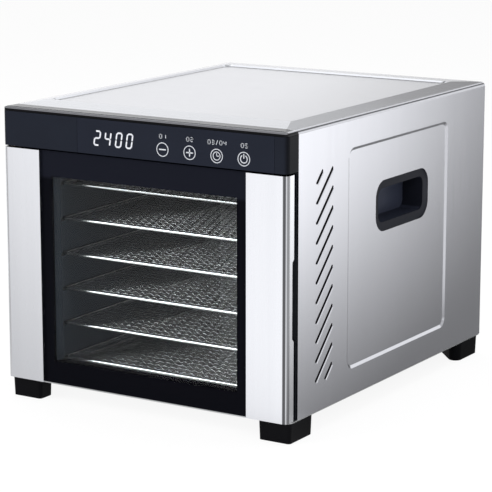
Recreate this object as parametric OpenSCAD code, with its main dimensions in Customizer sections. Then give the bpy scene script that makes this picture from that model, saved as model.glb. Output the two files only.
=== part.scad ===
// Six-tray cabinet food dehydrator with a glass door hinged on the left.
// Millimetres. X is to the right, Y to the back, Z up from the surface it stands on.

/* [Cabinet] */
// Overall width
body_w = 342; // [326:1:380]
// Overall depth, door included
body_d = 430; // [410:1:480]
// Overall height, feet included
body_h = 313; // [302:1:350]
// Height of the feet
foot_h = 20; // [16:1:26]
// Thickness of the steel sheet
sheet = 1.2; // [0.8:0.1:1.5]
// Depth of the door and of the control fascia in front of the cabinet
front_t = 21.5; // [21:0.5:26]
// Bend radius along the top edges
edge_r = 5; // [4:0.5:7]
// Radius of the upright front corners
corner_r = 5.5; // [4:0.5:8]
// Height of the steel lip that is rolled down over the fascia
lip_h = 4.5; // [3.5:0.5:8]

/* [Pressed panels] */
// Rise of the top from its edges to the rim of its pressed panel
crown = 3; // [0:0.5:5]
// Depth of the pressed panels in the top and sides
press_depth = 1.6; // [1:0.1:2.4]
// Width of the sloped step around a pressed panel
press_ramp = 3; // [2:0.5:6]
// Corner radius of a pressed panel
press_r = 10; // [8:1:16]
// Distance from the front edge to the pressed panel in the top
top_press_front = 47.5; // [40:0.5:70]
// Distance from the back edge to the pressed panel in the top
top_press_back = 38; // [30:0.5:60]
// Distance from the side edges to the pressed panel in the top
top_press_edge = 25; // [18:0.5:40]
// Distance from the cabinet's front edge to the pressed panel in a side
side_press_front = 99.5; // [84:0.5:120]
// Distance from the back edge to the pressed panel in a side
side_press_back = 90; // [60:0.5:110]
// Distance from the feet's upper end to the pressed panel in a side
side_press_low = 29; // [22:1:40]
// Distance from the top edge to the pressed panel in a side
side_press_top = 32; // [26:1:44]

/* [Side vents] */
// Width of a vent slot
vent_w = 2.8; // [2:0.2:4]
// Width of the sloped land below a vent slot
vent_land = 2.8; // [1:0.2:4]
// Horizontal run of a full slot
vent_run = 31.5; // [24:0.5:36]
// Height from one slot to the next
vent_pitch = 20; // [14:1:26]
// Distance from the feet's upper end to the lowest slot
vent_low = 31.8; // [26:0.2:50]
// Distance from the top edge to the highest slot
vent_high = 46.2; // [36:0.2:60]
// Distance from the cabinet's front edge to the slots
vent_front = 35; // [20:1:46]

/* [Carry handles] */
// Length of a handle's bezel
handle_l = 117; // [100:1:130]
// Height of a handle's bezel
handle_h = 54; // [50:1:66]
// Corner radius of a handle's bezel
handle_r = 18; // [16:1:24]
// Width of a handle's bezel
bezel_w = 9; // [6:0.5:10]
// Depth of a handle's recess
handle_depth = 26; // [20:1:30]
// Distance from the pressed panel in to a handle's bezel
handle_set = 2; // [1.8:0.1:3]
// Wall of a moulded plastic piece
wall = 2; // [1.6:0.1:2.6]

/* [Door] */
// Width of the black border between a steel strip and the clear window
border_w = 12.7; // [10:0.1:20]
// Thickness of the door's glass
glass_t = 4; // [3:0.5:5]
// Width of a steel strip beside the glass
strip_w = 46.3; // [44.5:0.1:50]
// Gap between the door and the fascia
door_gap = 2; // [1.8:0.1:4]
// Length of the grip notch in the door's free edge
grip_l = 82; // [70:1:110]
// Depth of the grip pocket into the door's free edge
grip_depth = 13; // [10:1:15]
// Radius of the hinge pins
pin_r = 2.5; // [2:0.25:3]
// Radius of a hinge bush
bush_r = 4; // [3.75:0.25:4.5]

/* [Controls] */
// Height of the fascia
fascia_h = 36; // [32:1:42]
// Left edge of the touch panel, from the middle
panel_left = -76; // [-90:1:-68]
// Distance from the fascia's right end to the touch panel
panel_edge = 14; // [10:1:24]
// Distance from one touch key to the next
key_pitch = 31.6; // [26:0.2:32]

/* [Chamber] */
// Space between the wrap's outside and the chamber, on each side
side_space = 43; // [42:0.5:48]
// Depth of a moulded tray rack on each side
rack_t = 10; // [9:0.5:12]
// Distance from the fascia's lower edge to the top of the chamber
chamber_drop = 7.5; // [6:0.5:12]
// Radius of a tray's rim wire
wire_r = 1.75; // [1.5:0.05:2]
// Bend radius of a tray's corners
tray_bend = 12; // [8:1:20]
// Distance from one bar of a tray's mesh to the next
mesh_pitch = 15; // [12:1:24]
// Width of a bar of a tray's mesh
mesh_bar = 1.4; // [1.2:0.1:3]
// Depth of a tray's groove in the racks
groove_depth = 7; // [6:0.5:8]
// Play of a tray in its groove, on each side
tray_play = 1; // [0.6:0.1:1.5]

/* [Fan and heater] */
// Depth of the fan compartment, from the guard to the chamber's rear wall
fan_bay = 41.5; // [40:0.5:48]
// Depth of the motor compartment, from the chamber's rear wall to the back panel
motor_bay = 50.8; // [48:0.2:60]
// Radius of the fan
fan_r = 72; // [60:1:76]
// Number of fan blades
blades = 6; // [4:1:7]
// Pitch of the fan blades, in degrees
blade_pitch = 32; // [20:1:36]
// Radius of the fan shaft
shaft_r = 3; // [2.5:0.25:4]
// Radius of the heater ring
heater_ring_r = 88; // [84:1:92]
// Radius of the heater's tube
heater_tube_r = 3.3; // [2.5:0.1:4]

/* [Feet] */
// Width of a foot
foot_w = 37; // [32:1:42]
// Length of a foot
foot_l = 48; // [44:1:60]

/* [Hidden] */
$fn = 64;
TRAYS = 6;

STEEL = "#c3c6cb";
DARK_STEEL = "#3a3d42";
BLACK = "#17181b";
GLOSS = "#20242e";
CLEAR = "#33414a";
WIRE = "#dfe1e4";
BOARD = "#1f5a3a";
COPPER = "#b26a3a";

// Gap between pieces that are slid together by hand
fit = 0.3;
// Gap on each side of a pin that turns, or of a pressed-in bush
run = 0.05;
press = 0.02;

// Outer planes of the machine
half_w = body_w / 2;
front_y = -body_d / 2;
back_y = body_d / 2;
cab_y = front_y + front_t;
inner_x = half_w - sheet;
edge_z = body_h - crown;
inner_top = edge_z - sheet;
pan_top = foot_h + sheet;

// Levels of the front
lip_z = edge_z - lip_h;
fascia_z = lip_z - fascia_h;
door_top = fascia_z - door_gap;
door_bottom = pan_top + 0.8;

// Chamber
chamber_floor_z = pan_top + 11.8;
chamber_top_z = fascia_z - chamber_drop;
chamber_h = chamber_top_z - chamber_floor_z;
chamber_x = half_w - side_space;
rack_x = chamber_x - rack_t;
tray_x = rack_x + groove_depth - tray_play;
frame_back = cab_y + 2;
tray_front = cab_y + 11.5;
rear_flange_y = back_y - 5.4;
panel_y = rear_flange_y + sheet;
back_wall_y = panel_y - motor_bay;
guard_y = back_wall_y - fan_bay;
tray_back = guard_y - 0.5;
tray_step = (chamber_h - 42.5) / (TRAYS - 1);
drip_top = chamber_floor_z + 6.8;
rack_z = chamber_floor_z + 5;

// Rear compartment
fan_z = chamber_floor_z + chamber_h / 2;
fan_front = guard_y + sheet + 8;
fan_depth = 22;
ring_y = guard_y + 25;
motor_y = back_wall_y + sheet + 16;
motor_l = 18;
spacer_x = rack_x - 9;

// Door
hinge_x = -(half_w - 8);
hinge_y = front_y + 10;
glass_front = front_y + 3.7;
glass_back = glass_front + glass_t;
trim_y = cab_y - 4;
door_back = cab_y - 1.5;
strip_inner = half_w - strip_w;
strip_back = cab_y - 8.1;
window_half = strip_inner - border_w;
post_x = strip_inner + sheet + 0.1;
window_low = door_bottom + 23.4;
window_high = door_top - 26.6;
grip_z = door_bottom + 81;
grip_front = cab_y - 11.1;
seal_half = chamber_x + 3;

// Controls
panel_right = half_w - panel_edge;
key_x = panel_right - 34.5 - 3 * key_pitch;
key_z = fascia_z + 11.7;
key_r = 6.5;
digits_x = panel_left + 45;
digits_z = fascia_z + 17;
fascia_front_wall = 2.5;
panel_t = 2;
board_y = front_y + panel_t + 7;

// Feet
foot_x = half_w;
foot_front_y = front_y + 7;
foot_rear_y = back_y - 5;
foot_screw_x = foot_w / 2 - 2;
foot_screw_y = foot_l / 2 - 4;

function tray_z(k) = chamber_floor_z + 9.4 + k * tray_step;
function vent_z(k) = vent_top - vent_run + 0.7 - k * vent_pitch;
vent_top = edge_z - vent_high;
vent_bottom = foot_h + vent_low;

// ---------- drawing aids ----------

module along_x(x0, x1) translate([x0, 0, 0]) rotate([90, 0, 90]) linear_extrude(x1 - x0) children();

module along_y(y0, y1) translate([0, y1, 0]) rotate([90, 0, 0]) linear_extrude(y1 - y0) children();

module along_z(z0, z1) translate([0, 0, z0]) linear_extrude(z1 - z0) children();

module block(x0, x1, y0, y1, z0, z1) translate([x0, y0, z0]) cube([x1 - x0, y1 - y0, z1 - z0]);

module span(a0, a1, b0, b1) translate([a0, b0]) square([a1 - a0, b1 - b0]);

module rounded_rect(w, h, r) {
    square([w - 2 * r, h], center = true);
    square([w, h - 2 * r], center = true);
    for (a = [-1, 1], b = [-1, 1])
        translate([a * (w / 2 - r), b * (h / 2 - r)]) circle(r);
}

module rounded_span(a0, a1, b0, b1, r)
    translate([(a0 + a1) / 2, (b0 + b1) / 2]) rounded_rect(a1 - a0, b1 - b0, r);

module disc(a, b, r) translate([a, b]) circle(r);

module both_sides() {
    children();
    mirror([1, 0, 0]) children();
}

// A rod or a hole along one axis, from one end to the other
module rod_x(x0, x1, y, z, r) translate([x0, y, z]) rotate([0, 90, 0]) cylinder(h = x1 - x0, r = r);

module rod_y(x, y0, y1, z, r) translate([x, y1, z]) rotate([90, 0, 0]) cylinder(h = y1 - y0, r = r);

module rod_z(x, y, z0, z1, r) translate([x, y, z0]) cylinder(h = z1 - z0, r = r);

// Outline that is square below and rounded at its two upper corners
module arch(half, low, high, r) {
    span(-half, half, low, high - r);
    span(-half + r, half - r, low, high);
    disc(half - r, high - r, r);
    disc(-half + r, high - r, r);
}

// Outline seen from above, rounded at its two front corners
module front_plan(half, front, back, r) {
    span(-half, half, front + r, back);
    span(-half + r, half - r, front, back);
    disc(half - r, front + r, r);
    disc(-half + r, front + r, r);
}

// ---------- sheet-metal cabinet ----------

// Low hipped rise of the top, from the bends up to the rim of the pressed panel
module crown_block(inset, over) {
    top = edge_z - inset;
    side = half_w - edge_r;
    rim = half_w - top_press_edge + 1;
    front = front_y + edge_r;
    back = back_y + over;
    rim_front = front_y + top_press_front - 1;
    rim_back = back_y - top_press_back + 1;
    intersection() {
        along_y(front, back) polygon([[-side, top - 2], [side, top - 2], [side, top],
            [rim, top + crown], [-rim, top + crown], [-side, top]]);
        along_x(-side, side) polygon([[front, top - 2], [back, top - 2], [back, top],
            [rim_back, top + crown], [rim_front, top + crown], [front, top]]);
    }
}

// Block with the wrap's outer form, or its inner form when it is inset
module wrap_block(inset, over) {
    low = pan_top - over;
    back = back_y + over;
    top = edge_z - inset;
    front = front_y + inset;
    r = edge_r - inset;
    intersection() {
        along_y(front, back) arch(half_w - inset, low, top, r);
        along_z(low, top) front_plan(half_w - inset, front, back, corner_r - inset);
        along_x(-half_w, half_w) {
            span(front, back, low, top - r);
            span(front + r, back, low, top);
            disc(front + r, top - r, r);
        }
    }
    crown_block(inset, over);
}

// Frustum with rounded corners, large end up at z = 0 and small end at -depth
module pressed_form(w, l, rise) {
    spread = press_ramp * rise / press_depth;
    hull() for (a = [-1, 1], b = [-1, 1])
        translate([a * (w / 2 - press_r), b * (l / 2 - press_r), -press_depth])
            cylinder(h = press_depth + rise, r1 = press_r - press_ramp, r2 = press_r + spread, $fn = 32);
}

module top_form(drop, rise)
    translate([0, front_y + top_press_front + top_press_l / 2, body_h - drop])
        pressed_form(body_w - 2 * top_press_edge, top_press_l, rise);

module side_form(drop, rise)
    translate([half_w - drop, side_press_y, side_press_z])
        rotate([0, 90, 0]) pressed_form(side_press_h, side_press_l, rise);

top_press_l = body_d - top_press_front - top_press_back;
side_press_l = body_d - front_t - side_press_front - side_press_back;
side_press_h = edge_z - foot_h - side_press_low - side_press_top;
side_press_y = cab_y + side_press_front + side_press_l / 2;
side_press_z = foot_h + side_press_low + side_press_h / 2;
handle_y = side_press_y + 8.6;
handle_z = side_press_z + side_press_h / 2 - 70.5;

module vent_slots() {
    for (k = [-1 : ceil((vent_top - vent_bottom) / vent_pitch)]) {
        s0 = max(0, vent_bottom - vent_z(k));
        s1 = min(vent_run, vent_top - vent_z(k));
        if (s1 - s0 > 2 * vent_w)
            along_x(half_w - 2 * sheet, half_w + 1)
                translate([cab_y + vent_front + s0, vent_z(k) + s0]) rotate(45) {
                    translate([0, -vent_w / 2]) square([(s1 - s0) * sqrt(2), vent_w]);
                    circle(vent_w / 2);
                    translate([(s1 - s0) * sqrt(2), 0]) circle(vent_w / 2);
                }
    }
}

// Wedges that slope the sheet down into the lower side of each slot
module vent_lands() {
    for (k = [-1 : ceil((vent_top - vent_bottom) / vent_pitch)]) {
        s0 = max(0, vent_bottom - vent_z(k));
        s1 = min(vent_run, vent_top - vent_z(k));
        if (s1 - s0 > 2 * vent_w)
            translate([half_w, cab_y + vent_front + s0, vent_z(k) + s0]) rotate([45, 0, 0])
                translate([0, (s1 - s0) * sqrt(2), 0]) rotate([90, 0, 0])
                    linear_extrude((s1 - s0) * sqrt(2))
                        polygon([[-sheet + 0.3, 0], [-sheet + 0.3, -vent_w / 2],
                            [0, -vent_w / 2 - vent_land], [1, -vent_w / 2 - vent_land], [1, 0]]);
    }
}

module rear_screw_holes(r)
    for (p = rear_screws) disc(p[0], p[1], r);

rear_screw_x = half_w - 9;
rear_screw_low = pan_top + 6.5;
rear_screw_high = edge_z - 9;
rear_screws = [for (a = [-1, 1]) each [
    [a * rear_screw_x, foot_h + 60], [a * rear_screw_x, edge_z - 70],
    [a * 80, rear_screw_high], [a * 80, rear_screw_low]]];

module outer_wrap() color(STEEL) difference() {
    union() {
        difference() {
            wrap_block(0, 0);
            wrap_block(sheet, 1);
        }
        top_form(sheet, sheet / 2);
        both_sides() {
            side_form(sheet, sheet / 2);
            // edge turned in around the handle
            along_x(bezel_x, bezel_x + handle_set - sheet / 2) translate([handle_y, handle_z])
                rounded_rect(handle_l + 2 * sheet, handle_h + 2 * sheet, handle_r + sheet);
        }
        // bottom flanges on the base pan, and the rear flange behind the back panel
        both_sides() block(half_w - 13, half_w - sheet / 2, cab_y + 6, rear_flange_y - 8, pan_top,
            pan_top + sheet);
        along_y(rear_flange_y, panel_y) difference() {
            arch(half_w - sheet / 2, pan_top + 20, edge_z - sheet / 2, edge_r - sheet / 2);
            span(-half_w + 14, half_w - 14, pan_top, edge_z - 14);
        }
    }
    block(-half_w - 1, half_w + 1, front_y - 1, cab_y, 0, lip_z);
    top_form(0, 0.2);
    both_sides() {
        side_form(0, 0.2);
        along_x(half_w - 12, half_w + 1) translate([handle_y, handle_z])
            rounded_rect(handle_l, handle_h, handle_r);
        vent_slots();
        vent_lands();
    }
    along_y(rear_flange_y - 1, panel_y + 1) rear_screw_holes(2.2);
}

pan_half = half_w - 0.5;
sill_y = front_y + 6;

module base_pan() color(STEEL) difference() {
    union() {
        along_z(foot_h, pan_top) front_plan(pan_half, sill_y, back_y - 1, 8);
        block(-half_w + 24, half_w - 24, rear_flange_y, panel_y, pan_top - sheet / 2, pan_top + 14);
    }
    // two rows of air intakes
    for (i = [-5 : 5], gap = [100, 40])
        along_z(foot_h - 1, pan_top + 1)
            rounded_span(i * 12 - 2, i * 12 + 2, back_wall_y - gap, back_wall_y - gap + 40, 1.9);
    rod_z(hinge_x, hinge_y, foot_h - 1, pan_top + 1, pin_r + press);
    foot_positions() rod_z(0, 0, foot_h - 1, pan_top + 1, 2.2);
    along_y(rear_flange_y - 1, panel_y + 1) rear_screw_holes(2.2);
}

module back_panel() color(STEEL) difference() {
    along_y(panel_y, panel_y + sheet) difference() {
        arch(inner_x - fit, pan_top + fit, inner_top - fit, edge_r - sheet);
        rear_screw_holes(2.2);
        for (j = [-5 : 5]) {
            reach = sqrt(pow(56, 2) - pow(j * 9.5, 2)) - 2;
            for (a = [-1, 1])
                translate([a * (reach / 2 + 2.5), fan_z + j * 9.5]) rounded_rect(reach, 4, 1.9);
        }
        disc(gland_x, gland_z, gland_r + fit);
    }
}

module back_screws() color(STEEL) for (p = rear_screws) {
    rod_y(p[0], panel_y + sheet, panel_y + sheet + 2.2, p[1], 4);
    rod_y(p[0], panel_y + sheet - 9, panel_y + sheet, p[1], 2);
}

gland_x = -half_w + 40;
gland_z = foot_h + 44;
gland_r = 8;

module cord_gland() color(BLACK) difference() {
    union() {
        rod_y(gland_x, panel_y + sheet, panel_y + sheet + 2.6, gland_z, 12);
        rod_y(gland_x, panel_y - 14, panel_y + sheet + 1, gland_z, gland_r);
        rod_y(gland_x, panel_y - 5, panel_y - sheet - 1, gland_z, 11);
    }
    rod_y(gland_x, panel_y - 20, panel_y + 8, gland_z, 3.6);
}

module front_frame() color(DARK_STEEL) along_y(cab_y, frame_back) difference() {
    arch(inner_x - fit, pan_top, inner_top - fit, edge_r - sheet);
    rounded_span(-chamber_x + 1.5, chamber_x - 1.5, chamber_floor_z, chamber_top_z, 1.5);
    rounded_span(-70, 70, fascia_z + 6, fascia_z + 30, 3);
    for (z = catch_levels) span(catch_x - 8 - fit, catch_x + 8 + fit, z - 7 - fit, z + 7 + fit);
}

// ---------- feet ----------

module foot_positions() both_sides() {
    translate([foot_x - foot_screw_x, foot_front_y + foot_screw_y, 0]) children();
    translate([foot_x - foot_screw_x, foot_rear_y - foot_screw_y, 0]) children();
}

// Foot whose outer corner stands at the origin, cut back on the slant at its inner end
module foot() difference() {
    hull()
        for (p = [[-4, 4, 4], [-foot_w + 4, 4, 4], [-foot_w + 6, 17, 6], [-8, foot_l - 8, 8]])
            translate([p[0], p[1], 0]) cylinder(h = foot_h, r1 = p[2] - 0.8, r2 = p[2], $fn = 32);
    rod_z(-foot_screw_x, foot_screw_y, -1, foot_h + 1, 2.2);
    rod_z(-foot_screw_x, foot_screw_y, -1, 8, 5.5);
}

module foot_front_right() color(BLACK) translate([foot_x, foot_front_y, 0]) foot();

module foot_front_left() mirror([1, 0, 0]) foot_front_right();

module foot_rear_right() color(BLACK) translate([foot_x, foot_rear_y, 0]) mirror([0, 1, 0]) foot();

module foot_rear_left() mirror([1, 0, 0]) foot_rear_right();

module foot_screws() color(STEEL) foot_positions() {
    rod_z(0, 0, 5.4, 8, 4.4);
    rod_z(0, 0, 8, pan_top + 6, 2);
}

// ---------- carry handles ----------

cup_l = handle_l - 2 * bezel_w + 2 * wall;
cup_h = handle_h - 2 * bezel_w + 2 * wall;
cup_r = handle_r - bezel_w + wall;
bezel_x = half_w - press_depth - handle_set;
flange_t = 2;
flange_w = 4;

module handle_right() color(BLACK) difference() {
    union() {
        along_x(bezel_x - flange_t, bezel_x) translate([handle_y, handle_z])
            rounded_rect(handle_l + 2 * flange_w, handle_h + 2 * flange_w, handle_r + flange_w);
        along_x(bezel_x - handle_depth + handle_set - wall, bezel_x - flange_t / 2)
            translate([handle_y, handle_z]) rounded_rect(cup_l, cup_h, cup_r);
    }
    along_x(bezel_x - handle_depth + handle_set, bezel_x + 3) translate([handle_y, handle_z])
        rounded_rect(cup_l - 2 * wall, cup_h - 2 * wall, cup_r - wall);
}

module handle_left() mirror([1, 0, 0]) handle_right();

// ---------- drying chamber ----------

module chamber_side_right() color(DARK_STEEL)
    block(chamber_x, chamber_x + sheet, frame_back, back_wall_y, chamber_floor_z - sheet,
        chamber_top_z + sheet);

module chamber_side_left() mirror([1, 0, 0]) chamber_side_right();

module chamber_floor() color(STEEL)
    block(-chamber_x, chamber_x, frame_back, back_wall_y, chamber_floor_z - sheet, chamber_floor_z);

module chamber_top() color(DARK_STEEL)
    block(-chamber_x, chamber_x, frame_back, back_wall_y, chamber_top_z, chamber_top_z + sheet);

module chamber_back() color(STEEL) difference() {
    along_y(back_wall_y, back_wall_y + sheet) difference() {
        span(-chamber_x - 12, chamber_x + 12, chamber_floor_z - sheet, chamber_top_z + sheet);
        disc(0, fan_z, shaft_r + 4);
        for (a = [-1, 1]) disc(a * lead_x, lead_z, heater_tube_r + 1);
        disc(probe_x, probe_z, 3.2);
    }
}

// Two channels that carry the chamber on the base pan
module chamber_supports() color(STEEL) both_sides() along_y(cab_y + 14, back_wall_y - 10) difference() {
    span(support_x - support_w, support_x, pan_top, chamber_floor_z - sheet);
    span(support_x - support_w + sheet, support_x - sheet, pan_top - 1, chamber_floor_z - 2 * sheet);
}

support_x = chamber_x - 36;
support_w = 24;

module tray_rack_right() color(BLACK) difference() {
    block(rack_x, chamber_x, frame_back, guard_y, rack_z, chamber_top_z);
    for (k = [0 : TRAYS - 1])
        block(rack_x - 1, rack_x + groove_depth, frame_back - 1, guard_y + 1,
            tray_z(k) - wire_r - 0.2, tray_z(k) + wire_r + 1.3);
}

module tray_rack_left() mirror([1, 0, 0]) tray_rack_right();

// ---------- trays ----------

module mesh_sheet(half, low, high) {
    cols = floor((2 * half - 6) / mesh_pitch);
    rows = floor((high - low - 6) / mesh_pitch);
    hole = mesh_pitch - mesh_bar;
    difference() {
        rounded_span(-half, half, low, high, tray_bend);
        for (i = [0 : cols - 1], j = [0 : rows - 1]) {
            corner = (i == 0 || i == cols - 1) && (j == 0 || j == rows - 1);
            if (!corner)
                translate([(i - (cols - 1) / 2) * mesh_pitch, (low + high) / 2 + (j - (rows - 1) / 2) * mesh_pitch])
                    square(hole, center = true);
        }
    }
}

module tray(k) {
    x = tray_x - wire_r;
    y0 = tray_front + wire_r;
    y1 = tray_back - wire_r;
    color(WIRE) translate([0, 0, tray_z(k)]) {
        for (y = [y0, y1]) rod_x(-x + tray_bend, x - tray_bend, y, 0, wire_r);
        for (a = [-1, 1]) rod_y(a * x, y0 + tray_bend, y1 - tray_bend, 0, wire_r);
        for (c = [[1, y1, 0], [-1, y1, 90], [-1, y0, 180], [1, y0, 270]])
            translate([c[0] * (x - tray_bend), c[1] + (c[1] == y1 ? -tray_bend : tray_bend), 0])
                rotate(c[2]) rotate_extrude(angle = 90) translate([tray_bend, 0]) circle(wire_r);
        along_z(-0.5, 0.5) mesh_sheet(x, y0, y1);
    }
}

// Shallow pan below the lowest tray, with a raised front edge between the racks
module drip_tray() color(WIRE) {
    z = chamber_floor_z + fit;
    side = chamber_x - 3;
    difference() {
        block(-side, side, tray_front, tray_back, z, rack_z - 0.6);
        block(-side + 0.8, side - 0.8, tray_front + 0.8, tray_back - 0.8, z + 0.8, drip_top + 1);
    }
    block(-rack_x + 0.5, rack_x - 0.5, tray_front, tray_front + 0.8, z + 0.4, drip_top);
    block(-rack_x + 0.5, rack_x - 0.5, tray_front, tray_front + 6, drip_top - 0.8, drip_top);
}

// ---------- fan, heater and motor ----------

guard_screw_levels = [(tray_z(0) + tray_z(1)) / 2, (tray_z(TRAYS - 2) + tray_z(TRAYS - 1)) / 2];

module guard_points() both_sides() for (z = guard_screw_levels) translate([spacer_x, 0, z]) children();

module fan_guard() color(STEEL) difference() {
    along_y(guard_y, guard_y + sheet) difference() {
        span(-chamber_x + fit, chamber_x - fit, chamber_floor_z + fit, chamber_top_z - fit);
        // rings of air slots in front of the fan, between six spokes
        translate([0, fan_z]) difference() {
            for (r = [18 : 10 : fan_r - 6]) difference() {
                circle(r + 5.5);
                circle(r);
            }
            for (s = [0 : 2]) rotate(s * 60) square([2 * fan_r + 20, 6], center = true);
        }
        // columns of return slots at both sides
        for (a = [-1, 1], j = [-8 : 8])
            translate([a * (rack_x - 27), fan_z + j * 12]) rounded_rect(16, 4.4, 2.1);
        for (a = [-1, 1], z = guard_screw_levels) disc(a * spacer_x, z, 2.2);
    }
}

module guard_spacers() color(STEEL) guard_points() difference() {
    rod_y(0, guard_y + sheet, back_wall_y, 0, 4.5);
    rod_y(0, guard_y, back_wall_y + 1, 0, 2.2);
}

module guard_screws() color(WIRE) guard_points() {
    rod_y(0, guard_y - 1.8, guard_y, 0, 4);
    rod_y(0, guard_y, back_wall_y - 2, 0, 2);
}

lead_angle = 70;
lead_x = heater_ring_r * cos(lead_angle);
lead_z = fan_z - heater_ring_r * sin(lead_angle);

module ring_tube(r, start, sweep)
    translate([0, ring_y, fan_z]) rotate([90, 0, 0]) rotate(start)
        rotate_extrude(angle = sweep) translate([heater_ring_r, 0]) circle(r);

// Tubular element bent to a ring, with its two leads taken through the rear wall in a flange
module heater_ring() color(DARK_STEEL) {
    ring_tube(heater_tube_r, -lead_angle, 180 + 2 * lead_angle);
    for (a = [-1, 1]) {
        translate([a * lead_x, ring_y, lead_z]) sphere(heater_tube_r + 0.3);
        rod_y(a * lead_x, ring_y, back_wall_y + 14, lead_z, heater_tube_r);
        rod_y(a * lead_x, back_wall_y + 10, back_wall_y + 20, lead_z, 1.5);
    }
    along_y(back_wall_y + sheet, back_wall_y + sheet + 2)
        rounded_span(-lead_x - 10, lead_x + 10, lead_z - 8, lead_z + 8, 4);
}

module heater_clips() color(STEEL) difference() {
    for (t = [90, 195, 345])
        translate([0, 0, fan_z]) rotate([0, -t, 0])
            block(heater_ring_r - heater_tube_r - 2.5, heater_ring_r + heater_tube_r + 2.5,
                ring_y - heater_tube_r - 2, back_wall_y, -4, 4);
    ring_tube(heater_tube_r + 0.25, 0, 360);
}

probe_x = -(rack_x - 13);
probe_z = chamber_top_z - 20;

module temperature_probe() color(STEEL) {
    rod_y(probe_x, back_wall_y - 12, back_wall_y + sheet + 1, probe_z, 3);
    rod_y(probe_x, back_wall_y + sheet, back_wall_y + sheet + 5, probe_z, 6);
}

module thermal_cutout() color(BLACK) {
    rod_y(60, back_wall_y + sheet, back_wall_y + sheet + 7, fan_z + 62, 9);
    along_y(back_wall_y + sheet, back_wall_y + sheet + 1) rounded_span(45, 75, fan_z + 56, fan_z + 68, 3);
    for (a = [-1, 1]) block(60 + a * 4 - 0.4, 60 + a * 4 + 0.4, back_wall_y + sheet + 6,
        back_wall_y + sheet + 15, fan_z + 59, fan_z + 65);
}

// One pressed blade: a curved strip of sheet cut to a blade's outline and set at its pitch
module blade() {
    camber_r = 46;
    rotate([blade_pitch, 0, 0]) intersection() {
        linear_extrude(24, center = true) intersection() {
            polygon([[10, -7], [10, 9], [0.55 * fan_r, 20], [fan_r, 21], [fan_r, -12], [0.6 * fan_r, -15]]);
            circle(fan_r - 0.5);
        }
        translate([0, 3, -camber_r]) rotate([0, 90, 0]) difference() {
            cylinder(h = fan_r, r = camber_r + 1);
            translate([0, 0, -1]) cylinder(h = fan_r + 2, r = camber_r - 0.2);
        }
    }
}

fan_mid = fan_front + fan_depth / 2;

module fan_blades() color(STEEL) translate([0, fan_mid, fan_z]) rotate([90, 0, 0]) difference() {
    union() {
        for (i = [0 : blades - 1]) rotate(i * 360 / blades) blade();
        translate([0, 0, -9]) cylinder(h = 18, r = 15);
    }
    cylinder(h = 60, r = shaft_r + press, center = true);
    translate([0, 0, -10]) difference() {
        cylinder(h = 13, r = 12.5);
        cylinder(h = 13, r = shaft_r + 3);
    }
}

module fan_shaft() color(WIRE) rod_y(0, fan_mid - 15, motor_y + motor_l + 10, fan_z, shaft_r);

module fan_nut() color(STEEL) difference() {
    translate([0, fan_mid - 9, fan_z]) rotate([90, 0, 0]) cylinder(h = 3.5, r = shaft_r + 3, $fn = 6);
    rod_y(0, fan_mid - 20, fan_mid, fan_z, shaft_r + press);
}

rotor_r = 14.6;

module motor_rotor() color(STEEL) difference() {
    rod_y(0, motor_y, motor_y + motor_l, fan_z, rotor_r);
    rod_y(0, motor_y - 1, motor_y + motor_l + 1, fan_z, shaft_r + press);
}

// Shaded-pole stator: a stack of plates with the rotor's bore above a leg for the coil
module motor_stator() color(DARK_STEEL) along_y(motor_y, motor_y + motor_l) translate([0, fan_z]) difference() {
    rounded_span(-32, 32, -52, 26, 3);
    circle(rotor_r + 0.4);
    rounded_span(-22, 22, -40, -20, 2);
}

module motor_coil() color(COPPER) translate([0, 0, fan_z]) difference() {
    along_x(-20, 20) rounded_span(motor_y - 5, motor_y + motor_l + 5, -57, -35, 4);
    block(-21, 21, motor_y - fit, motor_y + motor_l + fit, -52 - fit, -40 + fit);
}

strap_t = 3;
bearing_r = 5.5;

// Front strap on two posts, and rear strap, each with a seat for a bearing
module motor_brackets() color(STEEL) translate([0, 0, fan_z]) {
    for (y = [motor_y - strap_t, motor_y + motor_l])
        along_y(y, y + strap_t) difference() {
            union() {
                rounded_span(-41, 41, -7, 7, 3);
                circle(12);
            }
            circle(bearing_r + press);
        }
    both_sides() {
        rod_y(36.5, back_wall_y + sheet, motor_y - strap_t, 0, 4);
        rod_y(36.5, motor_y, motor_y + motor_l, 0, 3);
    }
}

module motor_bearings() color(COPPER) for (y = [motor_y - strap_t - 1, motor_y + motor_l])
    difference() {
        rod_y(0, y, y + strap_t + 1, fan_z, bearing_r);
        rod_y(0, y - 1, y + strap_t + 2, fan_z, shaft_r + run);
    }

// ---------- electronics ----------

board_t = 1.6;
power_z = chamber_top_z + sheet + 6;
power_top = power_z + board_t;
power_half = 62;
power_l = 90;
power_y = back_wall_y - 140;

// Board with a transformer, three relays, two capacitors and a row of terminals
module power_board() color(BOARD) translate([0, power_y, 0]) {
    block(-power_half, power_half, 0, power_l, power_z, power_top);
    block(-52, -20, 10, 40, power_top, power_top + 23.4);
    for (i = [0 : 2]) block(-8 + i * 22, 8 + i * 22, 10, 30, power_top, power_top + 15.4);
    for (i = [0 : 1]) rod_z(-40 + i * 18, 68, power_top - 0.6, power_top + 18.4, 7);
    block(-10, 50, power_l - 18, power_l - 6, power_top, power_top + 11.4);
}

module board_standoffs() color(WIRE)
    for (a = [-1, 1], y = [power_y + 6, power_y + power_l - 6])
        rod_z(a * (power_half - 6), y, chamber_top_z + sheet, power_z, 3.5);

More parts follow.
